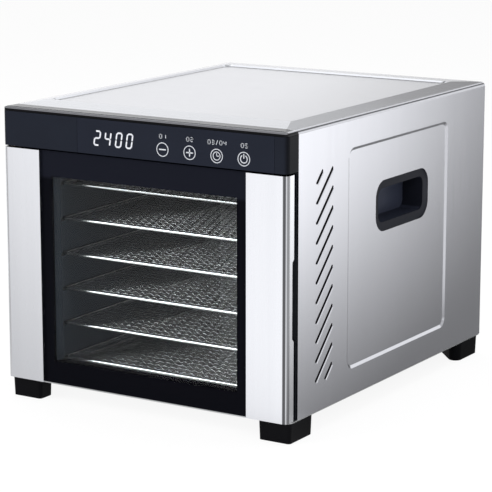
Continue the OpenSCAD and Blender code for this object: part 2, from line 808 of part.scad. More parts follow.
module control_fascia() color(BLACK) difference() {
    union() {
        along_z(fascia_z, lip_z - fit) front_plan(half_w, front_y, cab_y, corner_r);
        block(-half_w + 6, half_w - 6, front_y + 3.4, cab_y, lip_z - 1, inner_top - 0.4);
    }
    block(panel_left, panel_right, front_y - 1, front_y + panel_t, fascia_z - 1, lip_z + 1);
    block(-half_w + fascia_front_wall, half_w - fascia_front_wall, front_y + panel_t + fascia_front_wall,
        cab_y + 1, fascia_z + fascia_front_wall, inner_top - 3);
    block(digits_x - 34, key_x + 3 * key_pitch + 12, front_y, cab_y,
        fascia_z + fascia_front_wall, lip_z - 5);
    block(-half_w + 2, bracket_right + 0.5, cab_y - sheet - fit, cab_y + 1, fascia_z - 1, fascia_z + 4);
}

module touch_panel() color(GLOSS)
    block(panel_left + fit, panel_right - fit, front_y, front_y + panel_t, fascia_z, lip_z - fit);

module display_module() color(WIRE)
    block(digits_x - 28, digits_x + 28, front_y + panel_t, board_y, digits_z - 10, digits_z + 10);

// Circuit board behind the touch panel, with a sprung pad under each of the four keys
module control_board() color(BOARD) {
    block(digits_x - 33, key_x + 3 * key_pitch + 11, board_y, board_y + board_t, fascia_z + 4.5, lip_z - 5.5);
    for (i = [0 : 3]) {
        rod_y(key_x + i * key_pitch, front_y + panel_t, board_y - 1, key_z, key_r);
        rod_y(key_x + i * key_pitch, board_y - 2, board_y + 1, key_z, 3);
    }
    block(0, 40, board_y + board_t, board_y + 9, digits_z - 6, digits_z + 6);
}

// ---------- door ----------

bracket_right = hinge_x + 14;

module hinge_bracket() color(DARK_STEEL) difference() {
    union() {
        block(-half_w + 3, bracket_right, hinge_y - 5, cab_y, fascia_z - 1.4, fascia_z - 0.2);
        block(-half_w + 3, bracket_right, cab_y - sheet, cab_y, fascia_z - 1.4, fascia_z + 20);
    }
    rod_z(hinge_x, hinge_y, fascia_z - 5, fascia_z + 1, pin_r + press);
}

module hinge_pins() color(WIRE) {
    rod_z(hinge_x, hinge_y, door_top - 9, fascia_z - 0.2, pin_r);
    rod_z(hinge_x, hinge_y, foot_h, door_bottom + 9, pin_r);
}

module door_bushes() color(WIRE) difference() {
    union() {
        rod_z(hinge_x, hinge_y, pan_top + 0.1, door_bottom + 10, bush_r);
        rod_z(hinge_x, hinge_y, door_top - 10, door_top, bush_r);
    }
    rod_z(hinge_x, hinge_y, 0, edge_z, pin_r + run);
}

module grip_outline() polygon([
    [grip_front, grip_z + 3], [grip_front, grip_z + grip_l - 3], [grip_front + 3, grip_z + grip_l],
    [cab_y, grip_z + grip_l], [cab_y, grip_z], [grip_front + 3, grip_z]]);

module grip_pocket() along_x(half_w - grip_depth, half_w + 1) grip_outline();

module strike_seats(gap) for (z = catch_levels)
    block(catch_x - 9 - gap, catch_x + 9 + gap, door_back - 1, door_back + gap, z - 8 - gap, z + 8 + gap);

module door_frame() color(BLACK) difference() {
    union() {
        along_z(door_bottom, door_top) difference() {
            front_plan(half_w - sheet - 0.2, front_y + sheet + 0.2, trim_y, corner_r - sheet);
            span(-post_x, post_x, front_y, glass_back);
        }
    }
    along_y(glass_back - 2, trim_y + 1)
        rounded_span(-window_half, window_half, window_low, window_high, 3);
    for (z = [[door_bottom - 1, door_bottom + 10.2], [door_top - 10.2, door_top + 1]])
        rod_z(hinge_x, hinge_y, z[0], z[1], bush_r + press);
    grip_pocket();
}

module door_glass() color(CLEAR)
    block(-post_x + 0.4, post_x - 0.4, glass_front, glass_back, door_bottom, door_top);

// Steel strip: a face with a return down to the glass and a flank that turns round the corner
module door_strip_right() color(STEEL) difference() {
    along_z(door_bottom, door_top) difference() {
        intersection() {
            front_plan(half_w, front_y, strip_back, corner_r);
            span(strip_inner, half_w, front_y, strip_back);
        }
        span(strip_inner + sheet, half_w - 8, front_y + sheet, strip_back + 1);
        intersection() {
            front_plan(half_w - sheet, front_y + sheet, strip_back + 1, corner_r - sheet);
            span(strip_inner + 10, half_w, front_y, strip_back + 1);
        }
        span(strip_inner - 1, strip_inner + 10, glass_front - 0.1, strip_back + 1);
    }
    grip_pocket();
}

module door_strip_left() color(STEEL) mirror([1, 0, 0]) along_z(door_bottom, door_top) difference() {
    intersection() {
        front_plan(half_w, front_y, strip_back, corner_r);
        span(strip_inner, half_w, front_y, strip_back);
    }
    span(strip_inner + sheet, half_w - 8, front_y + sheet, strip_back + 1);
    intersection() {
        front_plan(half_w - sheet, front_y + sheet, strip_back + 1, corner_r - sheet);
        span(strip_inner + 10, half_w, front_y, strip_back + 1);
    }
    span(strip_inner - 1, strip_inner + 10, glass_front - 0.1, strip_back + 1);
}

// Inner trim that closes the back of the door and holds the seal
module door_inner_trim() color(BLACK) difference() {
    along_y(trim_y, door_back) difference() {
        span(-half_w + 4, half_w - 2.5, door_bottom + 0.5, door_top - 0.5);
        rounded_span(-window_half, window_half, window_low, window_high, 3);
    }
    along_y(door_back - 1.5, door_back + 1) seal_ring();
    grip_pocket();
    strike_seats(0.05);
}

module seal_ring() difference() {
    rounded_span(-seal_half, seal_half, chamber_floor_z - 5.5, chamber_top_z + 3.5, 8);
    rounded_span(-seal_half + 3, seal_half - 3, chamber_floor_z - 2.5, chamber_top_z + 0.5, 5);
}

module door_seal() color(DARK_STEEL) along_y(door_back - 1.5, cab_y - fit) seal_ring();

catch_x = half_w - 21;
catch_levels = [door_bottom + 48, door_top - 48];

module strike_plates() color(STEEL) strike_seats(0);

module magnetic_catches() color(DARK_STEEL) for (z = catch_levels) {
    block(catch_x - 8, catch_x + 8, door_back + fit, frame_back + 2, z - 7, z + 7);
    block(catch_x - 12, catch_x + 12, frame_back, frame_back + 2, z - 10, z + 10);
}

outer_wrap();
base_pan();
back_panel();
front_frame();
control_fascia();
touch_panel();
display_module();
control_board();
handle_left();
handle_right();
foot_front_left();
foot_front_right();
foot_rear_left();
foot_rear_right();
foot_screws();
chamber_side_left();
chamber_side_right();
chamber_floor();
chamber_top();
chamber_back();
chamber_supports();
tray_rack_left();
tray_rack_right();
fan_guard();
guard_spacers();
guard_screws();
heater_ring();
heater_clips();
thermal_cutout();
temperature_probe();
motor_stator();
motor_coil();
motor_brackets();
motor_bearings();
power_board();
board_standoffs();
cord_gland();
back_screws();
hinge_bracket();
hinge_pins();
magnetic_catches();
door_frame();
door_glass();
door_strip_left();
door_strip_right();
door_inner_trim();
door_seal();
door_bushes();
strike_plates();
fan_blades();
fan_shaft();
fan_nut();
motor_rotor();
tray(0);  // tray_1
tray(1);  // tray_2
tray(2);  // tray_3
tray(3);  // tray_4
tray(4);  // tray_5
tray(5);  // tray_6
drip_tray();
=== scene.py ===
import math

import bmesh
import bpy
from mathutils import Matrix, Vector


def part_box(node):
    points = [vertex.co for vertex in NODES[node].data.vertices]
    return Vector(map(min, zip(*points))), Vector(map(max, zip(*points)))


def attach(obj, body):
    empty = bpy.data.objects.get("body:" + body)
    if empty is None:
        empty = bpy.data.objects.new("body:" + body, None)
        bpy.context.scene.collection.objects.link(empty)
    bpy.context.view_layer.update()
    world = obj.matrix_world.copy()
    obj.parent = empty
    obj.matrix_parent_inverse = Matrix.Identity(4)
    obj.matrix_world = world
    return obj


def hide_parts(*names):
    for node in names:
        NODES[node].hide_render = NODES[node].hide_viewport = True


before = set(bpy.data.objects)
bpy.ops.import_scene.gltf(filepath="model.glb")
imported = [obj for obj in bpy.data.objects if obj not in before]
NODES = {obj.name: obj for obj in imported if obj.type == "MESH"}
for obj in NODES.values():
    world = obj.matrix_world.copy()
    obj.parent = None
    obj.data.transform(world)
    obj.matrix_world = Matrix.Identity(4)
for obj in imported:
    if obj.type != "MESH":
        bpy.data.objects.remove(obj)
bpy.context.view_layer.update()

# --- camera ---
# A long lens from the front right, a little above the machine, so that the door, the right side
# and the top all show.
EYE = (1.1893, -1.9245, 0.6223)
EYE_TURN = math.radians(31.91)
EYE_DIP = math.radians(11.97)
EYE_LENS = 155.5

eye = bpy.data.cameras.new("eye")
eye.lens = EYE_LENS
eye.sensor_width = 36.0
eye.clip_end = 50.0
eye_object = bpy.data.objects.new("eye", eye)
eye_object.location = EYE
eye_object.rotation_euler = (math.pi / 2 - EYE_DIP, 0.0, EYE_TURN)
bpy.context.collection.objects.link(eye_object)
bpy.context.scene.camera = eye_object
bpy.context.scene.view_settings.view_transform = "Standard"


# --- studio ---
# A pale worktop under a white room, two soft boxes in front and one above. The worktop keeps the
# machine's shadow. What the steel mirrors is shaded: a bright band low at the back that is darker
# above and lighter again overhead, a dark screen behind the machine, an even grey in front, two
# bright ceiling panels, and the worktop, which carries a painted shade beside the machine's right
# side that only reflections see.
WHITE = (1.0, 1.0, 1.0, 1.0)
ROOM_FILL = 0.55
# brightness of the mirrored room against the height of the direction, from the horizon up
ROOM_BANDS = (
    (0.0, 0.62), (0.12, 0.86), (0.27, 0.84), (0.36, 0.28), (0.48, 0.1), (0.6, 0.1), (0.75, 0.28),
    (0.88, 0.45), (1.0, 0.6),
)
ROOM_GAIN = 1.35
# ramps over the direction's x, y and z are given as (none, full); to the right the bands rise
RISE_X = (0.0, 0.4)
RISE = 0.06
# the room in front of the machine, above the worktop
FRONT_Y = (0.0, -1 / 6)
ROOM_FRONT = 0.6
# the dark screen, a little to the left of the middle and up to a height
SCREEN_MIDDLE = -0.05
SCREEN_SIDE = (0.25, 0.45)
SCREEN_Y = (0.0, 1 / 3)
SCREEN_Z = (0.68, 0.68 - 1 / 6)
SCREEN_DARK = 0.25
# ceiling panels that the pressed steps mirror: direction and brightness, and their soft edge
ROOM_PANELS = (((-0.12, 0.83, 0.54), 1.0), ((-0.52, 0.29, 0.80), 0.7))
PANEL_EDGE = (0.965, 0.985)
WORKTOP_HALF = 12.0
WORKTOP_Z = -0.0005
WORKTOP_PAINT = (0.86, 0.86, 0.86, 1.0)
WORKTOP_ROUGH = 0.9
WORKTOP_GLOW = 1.04
GLOW_SHARE = 0.86
# the painted shade of the mirrored worktop, as slopes (level, by x, by y) and their range
BESIDE_RISE = 1.25
BESIDE_SLOPE = (0.33, 3.29, -1.8)
BESIDE_RANGE = (0.24, 1.6)
LEFT_X = (0.0, -0.25)
BEFORE_SLOPE = (0.57, 1.23, -1.35)
BEFORE_RANGE = (0.5, 1.22)
BEFORE_Y = (-0.1, -0.3)
SOFT_BOXES = (
    # name, place, aim, width, height, watts
    ("box_front_left", (-1.7, -2.3, 1.5), (0.0, -0.1, 0.15), 1.6, 1.4, 46.0),
    ("box_front_right", (1.5, -1.5, 1.3), (0.15, -0.1, 0.2), 1.0, 1.0, 16.0),
    ("box_above", (0.1, 0.5, 2.3), (0.0, 0.0, 0.2), 2.0, 1.6, 26.0),
)


def feed(tree, node, inputs):
    """Links or sets a node's inputs, by name or number, and returns the node's outputs."""
    for key, value in inputs.items():
        if isinstance(value, bpy.types.NodeSocket):
            tree.links.new(value, node.inputs[key])
        else:
            node.inputs[key].default_value = value
    return node.outputs


def add(tree, kind, inputs):
    """Adds a node, feeds it and returns its outputs."""
    return feed(tree, tree.nodes.new(kind), inputs)


def calc(tree, operation, one, two=0.0, clamp=False):
    """A Math node on sockets or plain numbers."""
    node = tree.nodes.new("ShaderNodeMath")
    node.operation = operation
    node.use_clamp = clamp
    return feed(tree, node, {0: one, 1: two})[0]


def product(tree, *values):
    """The product of sockets and plain numbers."""
    result = values[0]
    for value in values[1:]:
        result = calc(tree, "MULTIPLY", result, value)
    return result


def most(tree, *values):
    """The greatest of sockets and plain numbers."""
    result = values[0]
    for value in values[1:]:
        result = calc(tree, "MAXIMUM", result, value)
    return result


def ramp(tree, value, none, full):
    """0 where the value is at none or beyond it, 1 where it is at full or beyond that."""
    return calc(tree, "DIVIDE", calc(tree, "SUBTRACT", value, none), full - none, clamp=True)


def choose(tree, factor, one, two):
    """The first value where the factor is 0, the second where it is 1."""
    return add(tree, "ShaderNodeMix", {0: factor, 2: one, 3: two})[0]


def axes_of(tree, vector):
    return add(tree, "ShaderNodeSeparateXYZ", {0: vector})


def seen_directly(tree):
    """1 where a ray from the eye, a reflection or glass arrives, and 0 where light falls."""
    path = add(tree, "ShaderNodeLightPath", {})
    return most(tree, path["Is Camera Ray"], path["Is Glossy Ray"], path["Is Transmission Ray"])


room = bpy.data.worlds.new("room")
bpy.context.scene.world = room
room.use_nodes = True
room_tree = room.node_tree
room_way = add(room_tree, "ShaderNodeTexCoord", {})["Generated"]
room_x, room_y, room_z = axes_of(room_tree, room_way)
rise = product(room_tree, ramp(room_tree, room_x, *RISE_X), RISE)
bands = room_tree.nodes.new("ShaderNodeValToRGB")
feed(room_tree, bands, {"Fac": calc(room_tree, "SUBTRACT", room_z, rise)})
stops = bands.color_ramp.elements
stops[0].position = ROOM_BANDS[0][0]
stops[1].position = ROOM_BANDS[-1][0]
for place, _ in ROOM_BANDS[1:-1]:
    stops.new(place)
for stop, (_, level) in zip(stops, ROOM_BANDS):
    stop.color = (level, level, level, 1.0)
aside = calc(room_tree, "ABSOLUTE", calc(room_tree, "SUBTRACT", room_x, SCREEN_MIDDLE))
behind = product(
    room_tree, ramp(room_tree, room_y, *SCREEN_Y), ramp(room_tree, room_z, *SCREEN_Z)
)
screen = choose(room_tree, ramp(room_tree, aside, *SCREEN_SIDE), SCREEN_DARK, 1.0)
screened = choose(room_tree, behind, 1.0, screen)
level = product(room_tree, bands.outputs["Color"], screened)
level = choose(room_tree, ramp(room_tree, room_y, *FRONT_Y), level, ROOM_FRONT)
mirrored = product(room_tree, level, ROOM_GAIN)
for way, strength in ROOM_PANELS:
    nearness = room_tree.nodes.new("ShaderNodeVectorMath")
    nearness.operation = "DOT_PRODUCT"
    feed(room_tree, nearness, {0: room_way, 1: Vector(way).normalized()})
    panel = ramp(room_tree, nearness.outputs["Value"], *PANEL_EDGE)
    mirrored = calc(room_tree, "ADD", mirrored, product(room_tree, panel, strength))
plain = choose(room_tree, seen_directly(room_tree), ROOM_FILL, 1.0)
glossy = add(room_tree, "ShaderNodeLightPath", {})["Is Glossy Ray"]
feed(room_tree, room_tree.nodes["Background"], {
    "Color": WHITE,
    "Strength": choose(room_tree, glossy, plain, mirrored),
})


def new_finish(name):
    """A material with its node tree, its Principled shader and the place on the piece."""
    finish = bpy.data.materials.new(name)
    finish.use_nodes = True
    tree = finish.node_tree
    place = add(tree, "ShaderNodeTexCoord", {})["Object"]
    return finish, tree, tree.nodes["Principled BSDF"], place


def mix_shaders(tree, share, one, two):
    return add(tree, "ShaderNodeMixShader", {0: share, 1: one, 2: two})[0]


worktop_mesh = bpy.data.meshes.new("worktop")
worktop_mesh.from_pydata(
    [
        (x * WORKTOP_HALF, y * WORKTOP_HALF, WORKTOP_Z)
        for x, y in ((-1, -1), (1, -1), (1, 1), (-1, 1))
    ],
    [],
    [(0, 1, 2, 3)],
)
worktop = bpy.data.objects.new("worktop", worktop_mesh)
bpy.context.collection.objects.link(worktop)
worktop_paint, paint_tree, paint_body, paint_place = new_finish("worktop_paint")
feed(paint_tree, paint_body, {"Base Color": WORKTOP_PAINT, "Roughness": WORKTOP_ROUGH})
paint_x, paint_y = axes_of(paint_tree, paint_place)[:2]


def slope_of(level, by_x, by_y):
    """level + by_x * x + by_y * y over the worktop."""
    along_x = product(paint_tree, paint_x, by_x)
    along_y = product(paint_tree, paint_y, by_y)
    return calc(paint_tree, "ADD", calc(paint_tree, "ADD", along_x, along_y), level)


def between(value, low, high):
    return calc(paint_tree, "MINIMUM", most(paint_tree, value, low), high)


# painted shade, seen in reflections: dark beside the right, a little darker at the left in front
beside = product(paint_tree, paint_x, BESIDE_RISE, slope_of(*BESIDE_SLOPE))
beside = between(most(paint_tree, beside, ramp(paint_tree, paint_x, *LEFT_X)), *BESIDE_RANGE)
before = between(slope_of(*BEFORE_SLOPE), *BEFORE_RANGE)
patch = choose(paint_tree, ramp(paint_tree, paint_y, *BEFORE_Y), beside, before)
glossy = add(paint_tree, "ShaderNodeLightPath", {})["Is Glossy Ray"]
paint_glow = add(paint_tree, "ShaderNodeEmission", {
    "Color": WHITE,
    "Strength": choose(paint_tree, glossy, WORKTOP_GLOW, patch),
})
glow_share = product(paint_tree, seen_directly(paint_tree), GLOW_SHARE)
feed(paint_tree, paint_tree.nodes["Material Output"], {
    "Surface": mix_shaders(
        paint_tree, choose(paint_tree, glossy, glow_share, 1.0), paint_body.outputs[0],
        paint_glow[0],
    ),
})
worktop_mesh.materials.append(worktop_paint)

for name, place, aim, width, height, watts in SOFT_BOXES:
    lamp = bpy.data.lights.new(name, "AREA")
    lamp.shape = "RECTANGLE"
    lamp.size = width
    lamp.size_y = height
    lamp.energy = watts
    lamp_object = bpy.data.objects.new(name, lamp)
    lamp_object.location = place
    lamp_object.visible_glossy = False
    lamp_object.rotation_euler = (Vector(aim) - Vector(place)).to_track_quat("-Z", "Y").to_euler()
    bpy.context.collection.objects.link(lamp_object)


# --- outer wrap and the folded base ---
# One sheet of stainless steel, brushed before it is folded, so the grain runs up the sides and
# across the top. The base pan and the back panel are plain mill sheet.

# where most of a noise's values lie
NOISE_LOW, NOISE_HIGH = 0.3, 0.7
# how much the grain's place is squeezed along x, y and z
ACROSS_Y = (45.0, 2600.0, 45.0)
ACROSS_X = (2600.0, 2600.0, 45.0)
ACROSS_ALL = (900.0, 900.0, 900.0)
GRAIN_DEPTH = 0.00002
FINE_SCALE, FINE_DETAIL = 1.0, 4.0
BROAD_SCALE = 0.04


def new_group(name, kind, inputs, outputs):
    """A node group with named sockets, given as (name, type, value) and (name, type)."""
    group = bpy.data.node_groups.new(name, kind)
    for title, socket_type, value in inputs:
        socket = group.interface.new_socket(
            title, in_out="INPUT", socket_type="NodeSocket" + socket_type
        )
        if value is not None:
            socket.default_value = value
    for title, socket_type in outputs:
        group.interface.new_socket(
            title, in_out="OUTPUT", socket_type="NodeSocket" + socket_type
        )
    return group, group.nodes.new("NodeGroupInput").outputs, group.nodes.new("NodeGroupOutput")


def noise_of(tree, place, scale, detail=2.0):
    return add(
        tree, "ShaderNodeTexNoise", {"Vector": place, "Scale": scale, "Detail": detail}
    )["Fac"]


def spread_of(tree, factor, low, high, to_low, to_high):
    """A factor that mostly lies from low to high, spread over another range."""
    return add(tree, "ShaderNodeMapRange", {
        "Value": factor, "From Min": low, "From Max": high, "To Min": to_low, "To Max": to_high,
    })["Result"]


# Long fine scratches: the place is squeezed along the grain, so that a noise becomes lines
brushing, brushing_in, brushing_out = new_group(
    "brushing", "ShaderNodeTree",
    [
        ("Place", "Vector", None), ("Squeeze", "Vector", (2500.0, 2500.0, 40.0)),
        ("Low", "Float", 0.25), ("High", "Float", 0.4),
    ],
    [("Roughness", "Float"), ("Lines", "Float"), ("Bands", "Float")],
)
squeeze = brushing.nodes.new("ShaderNodeVectorMath")
squeeze.operation = "MULTIPLY"
squeezed = feed(brushing, squeeze, {0: brushing_in["Place"], 1: brushing_in["Squeeze"]})[0]
fine_lines = noise_of(brushing, squeezed, FINE_SCALE, FINE_DETAIL)
feed(brushing, brushing_out, {
    "Roughness": spread_of(
        brushing, fine_lines, NOISE_LOW, NOISE_HIGH, brushing_in["Low"], brushing_in["High"]
    ),
    "Lines": fine_lines,
    "Bands": noise_of(brushing, squeezed, BROAD_SCALE),
})


def blend(tree, share, one, two):
    """The first colour where the share is 0, the second where it is 1."""
    node = tree.nodes.new("ShaderNodeMix")
    node.data_type = "RGBA"
    return feed(tree, node, {0: share, 6: one, 7: two})[2]


def shade_by(tree, factor, dark, light, low=NOISE_LOW, high=NOISE_HIGH):
    """A colour between two, chosen by a factor that mostly lies from low to high."""
    share = spread_of(tree, factor, low, high, 0.0, 1.0)
    return blend(tree, share, (*dark, 1.0), (*light, 1.0))


def bump_of(tree, height, strength, distance):
    return add(
        tree, "ShaderNodeBump", {"Strength": strength, "Distance": distance, "Height": height}
    )["Normal"]


def effect_of(tree, group, inputs):
    """The outputs of a shared effect's group node in a material."""
    node = tree.nodes.new("ShaderNodeGroup")
    node.node_tree = group
    return feed(tree, node, inputs)


def brushed_metal(name, squeeze_by, dark, light, low, high, strength=0.25):
    """A metal from dark to light and from low to high in roughness, with a bump's strength."""
    finish, tree, body, place = new_finish(name)
    grain = effect_of(
        tree, brushing, {"Place": place, "Squeeze": squeeze_by, "Low": low, "High": high}
    )
    feed(tree, body, {
        "Base Color": shade_by(tree, grain["Bands"], dark, light),
        "Roughness": grain["Roughness"],
        "Normal": bump_of(tree, grain["Lines"], strength, GRAIN_DEPTH),
        "Metallic": 1.0,
    })
    return finish


def dress(finish, *names):
    for node_name in names:
        for place in NODES[node_name].material_slots:
            place.material = finish


wrap_steel = brushed_metal(
    "wrap_steel", ACROSS_Y, (0.672, 0.68, 0.725), (0.685, 0.693, 0.738), 0.19, 0.24, 0.06
)
dress(wrap_steel, "outer_wrap")


def tinted(finish, share_at, towards=(0.002, 0.002, 0.003)):
    """Takes a finish towards another colour by a share made from its place and its facing."""
    tree = finish.node_tree
    body = tree.nodes["Principled BSDF"]
    coords = tree.nodes["Texture Coordinate"].outputs
    share = share_at(tree, axes_of(tree, coords["Object"]), axes_of(tree, coords["Normal"]))
    base = body.inputs["Base Color"].links[0].from_socket
    feed(tree, body, {"Base Color": blend(tree, share, base, (*towards, 1.0))})


def band_mask(tree, value, low, high, soft):
    """1 where the value lies from low to high, and down to 0 over soft beyond them."""
    middle, half = (low + high) / 2, (high - low) / 2
    off = calc(tree, "ABSOLUTE", calc(tree, "SUBTRACT", value, middle))
    return ramp(tree, off, half + soft, half)


def inward_of(tree, place, side):
    """The depth from the nearer of two sides, at x = side and x = -side."""
    return calc(tree, "SUBTRACT", side, calc(tree, "ABSOLUTE", place[0]))


# Painted shade in the steel's colour: the slots' cut walls and the deep side of their pressed
# lands are painted black where they lie in shadow. The roll along the roof's front edge is painted
# darker, its ends beside the fascia and its foot are painted black, and the roof's front strip,
# its right margin, its right half, the pressed steps and a thin line at the front edge of the
# side's pressed panel get painted shade. The roof's falls to the front and to the right get a
# painted highlight.
# Ramps are (none, full) and bands (from, to, soft), in metres inward from the nearer side, back
# from the front edge and down from the roof's edge, or as parts of the surface's facing.
WRAP_LOW, WRAP_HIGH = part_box("outer_wrap")
CROWN = 0.003
EDGE_Z = WRAP_HIGH.z - CROWN
SLOTS_IN = (0.0003, 0.0005)
SLOTS_BACK = (0.052, 0.096, 0.001)
SLOTS_DOWN = (0.020, 0.021)
ROLL_DOWN = (-0.0004, 0.0052, 0.0005)
ROLL_BACK = (0.0052, 0.00468)
ROLL_SHADE = 0.6
FLANK_IN = (0.0032, 0.0022)
FLANK_BACK = (0.0215, 0.0210)
FLANK_DOWN = (0.0022, 0.0052, 0.0008)
FLANK_SHADE = 0.97
ROOF_DOWN = (0.0008, -0.0002)
MARGIN_IN = (0.026, 0.024)
MARGIN_SHADE = 0.46
LIP_BACK = (0.0160, 0.0150)
LIP_SHADE = 0.7
FOOT_BACK = (0.0026, 0.0024)
FOOT_DOWN = (0.0023, 0.0050, 0.0002)
FOOT_SHADE = 0.985
RIGHT_X = (0.02, WRAP_HIGH.x)
RIGHT_SHADE = 0.16
STEP_SIDEWAYS = (0.2, 0.5)
STEP_FACING = (-0.06, -0.16)
STEP_BACK = (0.097, 0.098)
STEP_SHADE = 0.42
FAR_FACING = (0.1, 0.25)
FAR_BACK = (0.100, 0.101)
FAR_SHADE = 0.7
LINE_SIDEWAYS = (0.8, 0.9)
LINE_BACK = (0.1196, 0.1208, 0.0006)
LINE_DOWN = (0.042, 0.251, 0.001)
LINE_SHADE = 0.2
FALL_FRONT = (-0.02, -0.05)
FALL_FRONT_LIGHT = 0.85
FALL_RIGHT = (0.04, 0.08)
FALL_RIGHT_Y = (0.05, WRAP_LOW.y)
FALL_RIGHT_LIGHT = 0.75


def wrap_shade(tree, place, facing):
    """The darkest of the painted shades above."""
    inward = inward_of(tree, place, WRAP_HIGH.x)
    back = calc(tree, "SUBTRACT", place[1], WRAP_LOW.y)
    down = calc(tree, "SUBTRACT", EDGE_Z, place[2])
    sideways = calc(tree, "ABSOLUTE", facing[0])
    steps = ramp(tree, sideways, *STEP_SIDEWAYS)
    slots = product(
        tree, ramp(tree, inward, *SLOTS_IN), band_mask(tree, back, *SLOTS_BACK),
        ramp(tree, down, *SLOTS_DOWN),
    )
    roll = product(
        tree, band_mask(tree, down, *ROLL_DOWN), ramp(tree, back, *ROLL_BACK), ROLL_SHADE
    )
    flank = product(
        tree, band_mask(tree, down, *FLANK_DOWN), ramp(tree, back, *FLANK_BACK),
        ramp(tree, inward, *FLANK_IN), FLANK_SHADE,
    )
    foot = product(
        tree, band_mask(tree, down, *FOOT_DOWN), ramp(tree, back, *FOOT_BACK), FOOT_SHADE
    )
    margin = product(
        tree,
        ramp(tree, place[0], WRAP_HIGH.x - MARGIN_IN[0], WRAP_HIGH.x - MARGIN_IN[1]),
        ramp(tree, place[1], WRAP_LOW.y, WRAP_HIGH.y),
        MARGIN_SHADE,
    )
    lip = product(tree, ramp(tree, back, *LIP_BACK), LIP_SHADE)
    right_half = product(tree, ramp(tree, place[0], *RIGHT_X), RIGHT_SHADE)
    roof = product(tree, ramp(tree, down, *ROOF_DOWN), most(tree, margin, lip, right_half))
    step = product(
        tree, ramp(tree, facing[1], *STEP_FACING), steps, ramp(tree, back, *STEP_BACK),
        STEP_SHADE,
    )
    far_step = product(
        tree, ramp(tree, facing[1], *FAR_FACING), steps, ramp(tree, back, *FAR_BACK), FAR_SHADE
    )
    step_line = product(
        tree, band_mask(tree, back, *LINE_BACK), band_mask(tree, down, *LINE_DOWN),
        ramp(tree, sideways, *LINE_SIDEWAYS), LINE_SHADE,
    )
    return most(tree, slots, roll, flank, foot, roof, step, far_step, step_line)


def painted_roof_highlight(tree, place, facing):
    """Painted highlight on the roof's fall to the front and the front of its fall to the right."""
    on_roof = ramp(tree, calc(tree, "SUBTRACT", EDGE_Z, place[2]), *ROOF_DOWN)
    back = calc(tree, "SUBTRACT", place[1], WRAP_LOW.y)
    to_front = product(tree, ramp(tree, facing[1], *FALL_FRONT), FALL_FRONT_LIGHT)
    to_right = product(
        tree, ramp(tree, facing[0], *FALL_RIGHT), ramp(tree, place[1], *FALL_RIGHT_Y),
        FALL_RIGHT_LIGHT,
    )
    behind_lip = ramp(tree, back, *LIP_BACK[::-1])
    return product(tree, on_roof, behind_lip, most(tree, to_front, to_right))


# painted shade, then a painted highlight, in the wrap's colour
tinted(wrap_steel, wrap_shade)
tinted(wrap_steel, painted_roof_highlight, (0.93, 0.95, 1.0))
mill_steel = brushed_metal(
    "mill_steel", (600.0, 60.0, 60.0), (0.50, 0.51, 0.52), (0.60, 0.61, 0.62), 0.35, 0.5
)
dress(
    mill_steel, "base_pan", "back_panel", "chamber_floor", "chamber_back", "chamber_supports",
    "fan_guard", "guard_spacers", "heater_clips", "motor_brackets", "temperature_probe", "fan_nut",
    "strike_plates",
)

# --- painted steel inside ---
# The front frame and the chamber's walls are sheet with a satin black enamel, a little uneven.
ENAMEL_GRAIN = 900.0
ENAMEL_DEPTH = 0.00005
ENAMEL_BUMP = 0.2
ENAMEL_ROUGH = 0.45
painted, painted_tree, painted_body, painted_place = new_finish("black_enamel")
orange_peel = noise_of(painted_tree, painted_place, ENAMEL_GRAIN)
feed(painted_tree, painted_body, {
    "Base Color": shade_by(
        painted_tree, orange_peel, (0.012, 0.014, 0.018), (0.02, 0.023, 0.028)
    ),
    "Roughness": ENAMEL_ROUGH,
    "Normal": bump_of(painted_tree, orange_peel, ENAMEL_BUMP, ENAMEL_DEPTH),
})
dress(
    painted, "front_frame", "chamber_side_left", "chamber_side_right", "chamber_top",
    "heater_ring", "motor_stator", "hinge_bracket", "magnetic_catches",
)

# --- moulded plastic: fascia, handles, feet, tray racks ---
# Black ABS and nylon out of a spark-eroded mould, so the surface has a fine grain. The fascia is
# polished and blue-black.
MOULD_GRAIN = 1500.0
MOULD_DETAIL = 3.0
MOULD_PATCHES = 18.0
MOULD_DEPTH = 0.0001
mould_grain, mould_in, mould_out = new_group(
    "mould_grain", "ShaderNodeTree",
    [("Place", "Vector", None), ("Size", "Float", MOULD_GRAIN)],
    [("Height", "Float"), ("Patches", "Float")],
)
feed(mould_grain, mould_out, {
    "Height": noise_of(mould_grain, mould_in["Place"], mould_in["Size"], MOULD_DETAIL),
    "Patches": noise_of(mould_grain, mould_in["Place"], MOULD_PATCHES),
})


def moulded(name, dark, light, rough_low, rough_high, grain_depth, sheen_level=0.4):
    """A plastic from dark to light and from rough_low to rough_high, with the mould's grain."""
    finish, tree, body, place = new_finish(name)
    grain = effect_of(tree, mould_grain, {"Place": place})
    feed(tree, body, {
        "Base Color": shade_by(tree, grain["Patches"], dark, light),
        "Roughness": spread_of(
            tree, grain["Patches"], NOISE_LOW, NOISE_HIGH, rough_low, rough_high
        ),
        "Specular IOR Level": sheen_level,
        "Normal": bump_of(tree, grain["Height"], grain_depth, MOULD_DEPTH),
    })
    return finish


fascia_black = moulded(
    "fascia_black", (0.0105, 0.0125, 0.0195), (0.0120, 0.0145, 0.0225), 0.2, 0.26, 0.02, 0.05
)
dress(fascia_black, "control_fascia")
END_SIDEWAYS = (0.3, 0.8)
END_SHADE = 0.75


def fascia_shade(tree, place, facing):
    """Painted shade: the ends round the corners, which face sideways, are darker."""
    sideways = calc(tree, "ABSOLUTE", facing[0])
    return product(tree, ramp(tree, sideways, *END_SIDEWAYS), END_SHADE)


